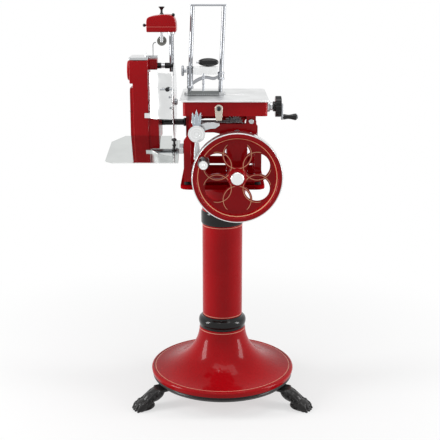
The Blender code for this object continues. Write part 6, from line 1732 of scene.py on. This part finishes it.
@dataclass
class Sharpener:
    """Barrel cover with its knobs, the post, the bracket rod and the two stones."""

    wall: float = 0.004
    # Height of the pale red line round the cover, a painted highlight along its seam.
    seam_highlight_z: float = 0.0185
    ball_r: float = 0.0060
    neck_r: float = 0.0024
    neck_z: float = -0.0130
    left_ball: Triple = (-0.0098, 0.0, 0.0225)
    right_ball: Triple = (-0.0100, -0.024, -0.0010)
    wire_r: float = 0.0016
    wire_x: Pair = (0.0335, 0.0115)
    wire_y: float = 0.0280
    wire_z: Triple = (0.006, 0.0125, 0.030)
    pale_band: Pair = (0.23, 0.45)

    def build(self) -> None:
        """Build the sharpener's pieces."""
        post = [(0.0, 0.0), (0.84, 0.0), (1.0, 0.006), (1.0, 0.994), (0.84, 1.0), (0.0, 1.0)]
        fit(Seat("sharpener_post").lathe("swivel_post", post), Body.POST, CHROME, "sharpener_post")
        stone = [(0.28, 0.0), (0.95, 0.0), (1.0, 0.10), (1.0, 0.90), (0.95, 1.0), (0.28, 1.0)]
        for side in ("front", "rear"):
            node = f"grinding_stone_{side}"
            piece = Seat(node).lathe(f"honing_stone_{side}", stone, Axis.BACK, ring=True)
            fit(piece, Body.SHARPENER, GRIT, node)
        seat = Seat("sharpener_cover")
        self.cover(seat)
        self.knobs(seat)
        self.wire()
        self.rod()

    def bore(self, height: float, gap: float) -> Piece:
        """Make the cutter that lets the post through a piece at a height, with a gap round it.

        Args:
            height: where the middle of the cutter lies.
            gap: room left round the post.

        Returns:
            The cutter.
        """
        post = Seat("sharpener_post")
        place = (post.middle.x, post.middle.y, height)
        return drill(post.size.x / 2 + gap, CUTTER_DEPTH, place, Axis.UP, 48)

    def cover(self, seat: Seat) -> None:
        """Draw the cover's barrel section, extrude it and hollow it from below.

        Args:
            seat: box of the cover.
        """
        low, width, height, wall = seat.low, seat.size.x, seat.size.z, self.wall
        section = [
            (0.0, 0.0), (0.0, 0.34), (0.005, 0.64), (0.05, 0.82), (0.20, 0.915), (0.42, 0.975),
            (0.66, 1.0), (0.84, 0.96), (0.95, 0.78), (1.0, 0.44), (1.0, 0.0),
        ]
        crown = [(low.x + width * u, low.z + height * v) for u, v in eased(section, 4)]
        hollow = [
            (seat.middle.x + (x - seat.middle.x) * (1 - 2 * wall / width),
             low.z - wall + (z - low.z) * (1 - wall / height) - (wall if z <= low.z else 0.0))
            for x, z in crown
        ]
        depth, place = seat.size.y, (0.0, seat.middle.y, 0.0)
        cover = plate("sharpener_hood", crown, depth, place, Facing.FRONT, 0.008, 4)
        inside = plate("hood_inside", hollow, depth - 2 * wall, place, Facing.FRONT)
        carve(cover, inside, self.bore(seat.high.z, 0.0006))
        # The pale red line is a painted highlight along the cover's seam.
        lined = BandedEnamel(
            "red_enamel_hood", RED_SLOT, CRIMSON, 0.24, heights=(low.z + self.seam_highlight_z,),
            width=0.0016, line=(0.58, 0.14, 0.12),
        )
        fit(smooth(tidy_mesh(cover)), Body.SHARPENER, lined, "sharpener_cover")

    def knobs(self, seat: Seat) -> None:
        """Turn the trumpet knob and the two black ball ends of the cover.

        Args:
            seat: box of the cover.
        """
        trumpet = [
            (0.0, 0.0), (0.62, 0.0), (0.66, 0.03), (0.60, 0.09), (0.42, 0.18), (0.36, 0.34),
            (0.38, 0.50), (0.48, 0.64), (0.68, 0.76), (0.90, 0.84), (1.0, 0.90), (0.98, 0.96),
            (0.84, 0.99), (0.0, 1.0),
        ]
        knob = Seat("sharpener_knob").lathe("hood_knob", trumpet)
        fit(knob, Body.SHARPENER, BAKELITE, "sharpener_knob")
        ball = [(0.0, self.neck_z), (self.neck_r, self.neck_z), (self.neck_r, -0.0050)]
        ball += arc((0.0, 0.0), (self.ball_r, self.ball_r), -60, 80, 14) + [(0.0, self.ball_r)]
        low, high, y = seat.low, seat.high, seat.middle.y
        for side, corner, step, axis in (
            ("left", (low.x, y, low.z), self.left_ball, Axis.LEFT),
            ("right", (high.x, y, high.z), self.right_ball, Axis.UP),
        ):
            place = Vector(corner) + Vector(step)
            fit(turned(f"hood_ball_{side}", ball, place, axis, 40), Body.SHARPENER, BAKELITE)

    def wire(self) -> None:
        """Bend the wire that stands on the casing's cap plate."""
        low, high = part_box("casing_cap")
        foot, stem = (high.x - gap for gap in self.wire_x)
        start, level = (low.z + rise for rise in self.wire_z[:2])
        y, top = low.y + self.wire_y, high.z + self.wire_z[2]
        route = [
            (foot, start), (foot, level), (stem, level), (stem, top),
            (stem + 0.003, top + 0.006), (stem + 0.011, top + 0.0085),
        ]
        wire = tube("cap_wire", [(x, y, z) for x, z in route], self.wire_r, 12)
        fit(wire, Body.STAND, TOOTH_STEEL)

    def rod(self) -> None:
        """Turn the bracket rod that holds the post, banded black and pale."""
        profile = [
            (0.0, 0.0), (1.0, 0.0), (1.0, 0.22), (0.86, 0.24), (0.86, 0.44), (1.0, 0.46),
            (1.0, 0.96), (0.93, 1.0), (0.0, 1.0),
        ]
        seat = Seat("post_bracket")
        rod = seat.lathe("post_holder", profile, Axis.X, 48)
        smooth(carve(rod, self.bore(seat.middle.z, 0.0004)))
        near, far = (seat.low.x + seat.size.x * share for share in self.pale_band)
        paint(rod, IRON, CAST_ALUMINIUM, lambda co, no: near < co.x < far)
        fit(rod, Body.STAND, IRON, "post_bracket")


@dataclass
class Carriage:
    """Lock lever, screw bearing, fluted index wheel and the crank's grip."""

    lever_thick: float = 0.005
    ball_y: float = 0.0052
    ball_drop: float = 0.014
    flutes: int = 16
    flute_r: float = 0.0042
    flute_out: float = 0.0018

    def build(self) -> None:
        """Build the carriage's turned and drawn pieces."""
        self.lever()
        bearing = [
            (0.40, 0.0), (0.97, 0.0), (1.0, 0.05), (1.0, 0.44), (0.94, 0.50), (0.74, 0.54),
            (0.70, 0.60), (0.70, 0.94), (0.66, 1.0), (0.40, 1.0),
        ]
        piece = Seat("feed_bearing").lathe("screw_bearing", bearing, Axis.X, ring=True)
        fit(piece, Body.CARRIAGE, CAST_ALUMINIUM, "feed_bearing")
        rim = [
            (0.20, 0.0), (0.44, 0.0), (0.48, 0.03), (0.48, 0.24), (0.52, 0.27), (0.93, 0.27),
            (0.98, 0.30), (1.0, 0.36), (1.0, 0.90), (0.98, 0.96), (0.93, 1.0), (0.66, 1.0),
            (0.62, 0.94), (0.34, 0.94), (0.30, 1.0), (0.20, 1.0),
        ]
        seat = Seat("index_wheel")
        wheel = seat.lathe("index_wheel_fluted", rim, Axis.X, 96, ring=True)
        seat.groove(wheel, self.flutes, 0.5, self.flute_r, self.flute_out, 20)
        fit(smooth(soften(wheel, 0.0005, 2)), Body.SCREW, BLACK_ENAMEL, "index_wheel")
        grip = [
            (0.30, 0.0), (0.74, 0.0), (0.84, 0.04), (0.78, 0.14), (0.66, 0.30), (0.64, 0.42),
            (0.74, 0.60), (0.92, 0.78), (1.0, 0.88), (0.96, 0.96), (0.82, 1.0), (0.30, 1.0),
        ]
        piece = Seat("feed_crank_grip").lathe("feed_grip", grip, Axis.X, 56, ring=True)
        fit(piece, Body.FEED_GRIP, BAKELITE, "feed_crank_grip")

    def lever(self) -> None:
        """Draw the round-topped lock lever and set the black ball on it."""
        seat = Seat("lock_lever")
        half, rear, thick = seat.size.x / 2, seat.high.y, self.lever_thick
        outline = [(-half * 0.72, 0.0), (half * 0.72, 0.0)]
        outline += arc((0.0, seat.size.z - half), (half, half), 0, 180, 16)
        place = (seat.middle.x, rear - thick / 2, seat.low.z)
        lever = plate("lock_lever_arm", outline, thick, place, Facing.FRONT, 0.0012)
        fit(lever, Body.LEVER, WARM_METAL, "lock_lever")
        ball = [(0.0, 0.0), (0.0042, 0.0), (0.0042, 0.0030)]
        ball += arc((0.0, 0.0072), (0.0078, 0.0062), -50, 80, 13) + [(0.0, 0.0134)]
        place = (seat.middle.x, rear - self.ball_y, seat.high.z - self.ball_drop)
        knob = turned("lock_lever_ball", ball, place, Axis.FRONT, 40)
        fit(knob, Body.LEVER, BAKELITE, "lock_lever")


@dataclass
class Clamp:
    """Leaning posts, sliding yoke, oval press handle and knurled knob of the meat clamp."""

    yoke_h: float = 0.088
    sleeve_r: float = 0.0104
    bead_r: float = 0.0118
    post_gap: float = 0.0004
    teeth: int = 15
    tooth_h: float = 0.006
    foot_h: float = 0.0150
    hanger_r: float = 0.0042
    cone_h: float = 0.0120
    left_sleeve_z: float = 0.008
    right_sleeve_z: Pair = (0.040, 0.068)
    arm_ends_z: Pair = (0.020, 0.054)
    arm_z: float = 0.010
    arm_thick: float = 0.009
    shield_x: Pair = (0.12, 0.90)
    shield_y: Pair = (0.0205, 0.0330)
    shield_z: float = 0.060
    face_y: float = 0.0122
    foot_y: float = 0.0042
    foot_thick: float = 0.007
    foot_ends: Pair = (0.006, 0.004)
    stem: Pair = (0.006, 0.005)
    cone_gap: float = 0.0070
    bore_over: float = 0.02
    knurls: int = 28
    knurl_r: float = 0.0011
    knurl_out: float = 0.0003

    def __post_init__(self) -> None:
        """Read the boxes of the posts and the yoke, and how far the posts lean."""
        self.posts = [Seat(f"clamp_post_{side}") for side in ("left", "right")]
        self.seat = Seat("press_yoke")
        first = self.posts[0]
        self.post_r = first.size.y / 2
        self.lean = (first.size.x - 2 * self.post_r) / first.size.z
        self.bottom = self.seat.high.z - self.yoke_h

    def post_place(self, side: int, height: float) -> Triple:
        """Give the middle of one post at a height.

        Args:
            side: zero for the left post, one for the right.
            height: height over the floor.

        Returns:
            The place.
        """
        post = self.posts[side]
        x = post.low.x + self.post_r + self.lean * (height - post.low.z)
        return x, post.middle.y, height

    def build(self) -> None:
        """Build the clamp's pieces."""
        for side, post in zip(("left", "right"), self.posts):
            low, high, y, r = post.low, post.high, post.middle.y, self.post_r
            ends = [(low.x + r, y, low.z + 0.0004), (high.x - r, y, high.z - 0.0004)]
            piece = tube(f"leaning_post_{side}", ends, r * 0.999, 40)
            fit(piece, Body.CLAMP, CHROME, post.node)
        self.yoke()
        self.foot()
        self.handle()
        self.knob()

    def sleeve(self, side: int, low: float, high: float) -> Piece:
        """Turn the beaded sleeve that slides on one post between two heights.

        Args:
            side: zero for the left post, one for the right.
            low: height of its lower end.
            high: height of its upper end.

        Returns:
            The sleeve.
        """
        tall = high - low
        half = [
            (0.0, 0.0), (0.0106, 0.0), (self.bead_r, 0.0012), (self.bead_r, 0.0060),
            (self.sleeve_r, 0.0078),
        ]
        profile = half + [(r, tall - z) for r, z in half[::-1]]
        x, y, _ = self.post_place(side, (low + high) / 2)
        return turned("press_yoke_frame", profile, (x, y, low), steps=56)

    def yoke(self) -> None:
        """Shape the sliding yoke: two sleeves, a swooping arm and the shield, whose front face
        carries a painted reflection.
        """
        seat, bottom = self.seat, self.bottom
        yoke = self.sleeve(0, bottom + self.left_sleeve_z, seat.high.z)
        right = self.sleeve(1, *(bottom + z for z in self.right_sleeve_z))
        start, y, _ = self.post_place(0, bottom + self.arm_ends_z[0])
        span = self.post_place(1, bottom + self.arm_ends_z[1])[0] - start
        spine = eased([(0.0, 0.014), (0.22, 0.034), (0.50, 0.044), (0.78, 0.040), (1.0, 0.053)], 5)
        under = eased([(1.0, 0.043), (0.78, 0.029), (0.50, 0.033), (0.22, 0.020), (0.0, 0.002)], 5)
        outline = [(start + u * span, bottom + v + self.arm_z) for u, v in spine + under]
        place = (0.0, y, 0.0)
        arm = plate("swooping_arm", outline, self.arm_thick, place, Facing.FRONT, 0.0026, 4)
        (first, last), (near, far) = self.shield_x, self.shield_y
        low = Vector((start + span * first, seat.low.y + near, bottom + self.shield_z))
        high = Vector((start + span * last, seat.low.y + far, seat.high.z))
        weld(yoke, arm, right, block("press_shield", low, high, 0.0016))
        for side in (0, 1):
            heights = (bottom - self.bore_over, seat.high.z + self.bore_over)
            ends = [self.post_place(side, z) for z in heights]
            carve(yoke, tube("bore", ends, self.post_r + self.post_gap, 40))
        # The shield's front face takes the lighter chrome: a painted reflection on one side of the
        # chrome yoke.
        left_x, right_x, front = low.x + 0.001, high.x - 0.001, y - self.face_y
        paint(
            smooth(yoke), CHROME, LIT_CHROME,
            lambda co, no: left_x < co.x < right_x and co.z > low.z and co.y < front,
        )
        fit(yoke, Body.PRESS, CHROME, "press_yoke")

    def foot(self) -> None:
        """Draw the dark toothed foot in front of the posts and the bracket that carries it."""
        low, bottom = self.seat.low, self.bottom
        left, right = (
            self.post_place(side, bottom)[0] - gap for side, gap in enumerate(self.foot_ends)
        )
        step, top, root = (right - left) / self.teeth, low.z + self.foot_h, low.z + self.tooth_h
        outline = [(right, top), (left, top)]
        for x in (left + i * step for i in range(self.teeth)):
            outline += [(x, root), (x + step * 0.36, low.z), (x + step * 0.64, low.z)]
        outline.append((right, root))
        place = (0.0, low.y + self.foot_y, 0.0)
        bar = plate("toothed_foot", outline, self.foot_thick, place, Facing.FRONT, 0.0004, 2)
        fit(bar, Body.PRESS, TOOTH_STEEL, "press_yoke")
        x, y = (left + right) / 2, low.y
        route = [
            (x, y + self.foot_y, top - 0.003), (x, y + 0.0060, top + 0.012),
            (x, y + 0.0150, bottom + 0.038), (x, y + 0.0255, bottom + 0.066),
        ]
        hanger = tube("foot_hanger", route, self.hanger_r, 20)
        fit(hanger, Body.PRESS, CHROME, "press_yoke")

    def handle(self) -> None:
        """Turn the black oval handle, its bright end cone and the stem under it."""
        seat = Seat("press_handle")
        half, radius = seat.size.x / 2, seat.size.y / 2
        y, z = seat.middle.y, seat.high.z - radius
        oval = [
            (radius * math.sin(t) ** 0.86, half - half * math.cos(t))
            for t in (math.pi * i / 28 for i in range(1, 28))
        ]
        profile = [(0.0, 0.0), *oval, (0.0, 2 * half)]
        handle = turned("oval_handle", profile, (seat.low.x, y, z), Axis.X)
        fit(handle, Body.PRESS, BAKELITE, "press_handle")
        tall = self.cone_h
        cone = [(0.0, 0.0), (0.0036, 0.0), (0.0058, 0.0100), (0.0060, tall), (0.0, tall)]
        end = turned("handle_end_cone", cone, (seat.low.x - self.cone_gap, y, z), Axis.X, 40)
        fit(end, Body.PRESS, CAST_ALUMINIUM)
        wide, deep = self.stem
        stem_low = (seat.middle.x - wide, y - deep, seat.low.z)
        stem_high = (seat.middle.x + wide, y + deep, seat.middle.z)
        fit(block("handle_stem", stem_low, stem_high, 0.002), Body.PRESS, CHROME)

    def knob(self) -> None:
        """Turn the side knob and cut its knurling."""
        seat = Seat("press_knob")
        profile = [
            (0.0, 0.0), (0.36, 0.0), (0.34, 0.08), (0.34, 0.50), (0.88, 0.55), (0.97, 0.59),
            (1.0, 0.65), (1.0, 0.90), (0.97, 0.96), (0.88, 1.0), (0.50, 1.0), (0.44, 0.95),
            (0.0, 0.95),
        ]
        knob = seat.lathe("side_knob", profile, Axis.LEFT, 84)
        seat.groove(knob, self.knurls, 0.37, self.knurl_r, self.knurl_out, 8)
        fit(smooth(knob), Body.PRESS_KNOB, CHROME, "press_knob")


# --------------------------------------------------------------------------- studio


@dataclass
class Studio:
    """Pale floor, soft light and the camera at the photo's viewing angle."""

    camera_place: Triple = (0.019489, -3.323616, 1.55)
    pitch: float = 75.4
    lens: float = 74.2
    floor_r: float = 30.0
    fade: Pair = (0.45, 1.7)
    fade_shares: Pair = (0.62, 1.0)
    glow: Pair = (0.45, 1.0)
    sensor: float = 36.0
    ambient: float = 0.22
    aim: Triple = (0.0, 0.0, 0.85)
    boxes: tuple[tuple[str, Triple, Pair, float], ...] = (
        ("left_box", (-3.0, -0.7, 1.6), (0.9, 2.6), 105.0),
        ("right_box", (3.0, -0.6, 1.4), (0.8, 2.4), 72.0),
        ("top_box", (0.1, -0.5, 3.4), (2.4, 1.6), 34.0),
    )

    def build(self) -> None:
        """Set floor, world, lamps, camera and view transform."""
        self.floor()
        self.world()
        self.lamps()
        self.camera()
        bpy.context.scene.view_settings.view_transform = "Standard"

    def floor(self) -> None:
        """Lay a pale floor that turns to plain white away from the object."""
        clear_choice()
        bpy.ops.mesh.primitive_circle_add(
            vertices=64, radius=self.floor_r, fill_type="NGON", location=ORIGIN
        )
        floor = bpy.context.object
        floor.name = "studio_floor"
        sheet = Sheet(bpy.data.materials.new(floor.name))
        reach = sheet.node("VectorMath", operation="LENGTH")
        sheet.link(sheet.places(), reach.inputs[0])
        far = sheet.spread(reach.outputs["Value"], *self.fade, *self.fade_shares)
        strength = sheet.spread(sheet.seen(), 0.0, 1.0, *self.glow)
        glow = sheet.fill(sheet.node("Emission"), (1.0, 1.0, 1.0), strength)
        sheet.plain(Base_Color=(0.86, 0.86, 0.86), Roughness=0.9, Specular_IOR_Level=0.1)
        mix = sheet.fill(sheet.node("MixShader"), far, sheet.shader.outputs[0], glow)
        sheet.link(mix, sheet.tree.nodes["Material Output"].inputs["Surface"])
        floor.data.materials.append(sheet.owner)

    def world(self) -> None:
        """Give a white surround that lights the object at a plain level."""
        world = bpy.data.worlds.new("studio")
        bpy.context.scene.world = world
        sheet = Sheet(world)
        background = sheet.tree.nodes["Background"]
        sheet.feed(background.inputs["Color"], (1.0, 1.0, 1.0))
        level = sheet.node("Mix", data_type="FLOAT")
        for index, value in ((0, sheet.seen()), (2, self.ambient), (3, 1.0)):
            sheet.feed(level.inputs[index], value)
        sheet.link(level.outputs[0], background.inputs["Strength"])

    def lamps(self) -> None:
        """Hang two soft side boxes and one overhead."""
        for name, place, size, power in self.boxes:
            clear_choice()
            bpy.ops.object.light_add(type="AREA", location=place)
            lamp = bpy.context.object
            lamp.name = name
            lamp.data.shape = "RECTANGLE"
            lamp.data.size, lamp.data.size_y = size
            lamp.data.energy = power
            sight = Vector(self.aim) - Vector(place)
            lamp.rotation_euler = sight.to_track_quat("-Z", "Y").to_euler()

    def camera(self) -> None:
        """Set the camera where the photo was taken from."""
        clear_choice()
        bpy.ops.object.camera_add(
            location=self.camera_place, rotation=(math.radians(self.pitch), 0.0, 0.0)
        )
        camera = bpy.context.object
        camera.name = "photo_camera"
        camera.data.lens = self.lens
        camera.data.sensor_width = self.sensor
        bpy.context.scene.camera = camera


def main() -> None:
    """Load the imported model, build and dress every piece, and set the studio."""
    logging.basicConfig(level=logging.INFO, format="%(message)s")
    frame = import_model()
    axis = Seat("column").middle
    axis.z = 0.0
    castings = Castings(frame["nodes"])
    for group in (
        Studio(), Pedestal(axis), PawFoot(axis), Flywheel(axis), castings, Machine(),
        KnifeSide(), Sharpener(), Carriage(), Clamp(),
    ):
        group.build()
        LOG.info("built: %s", type(group).__name__)
    castings.dress_hidden()


if __name__ == "__main__":
    main()
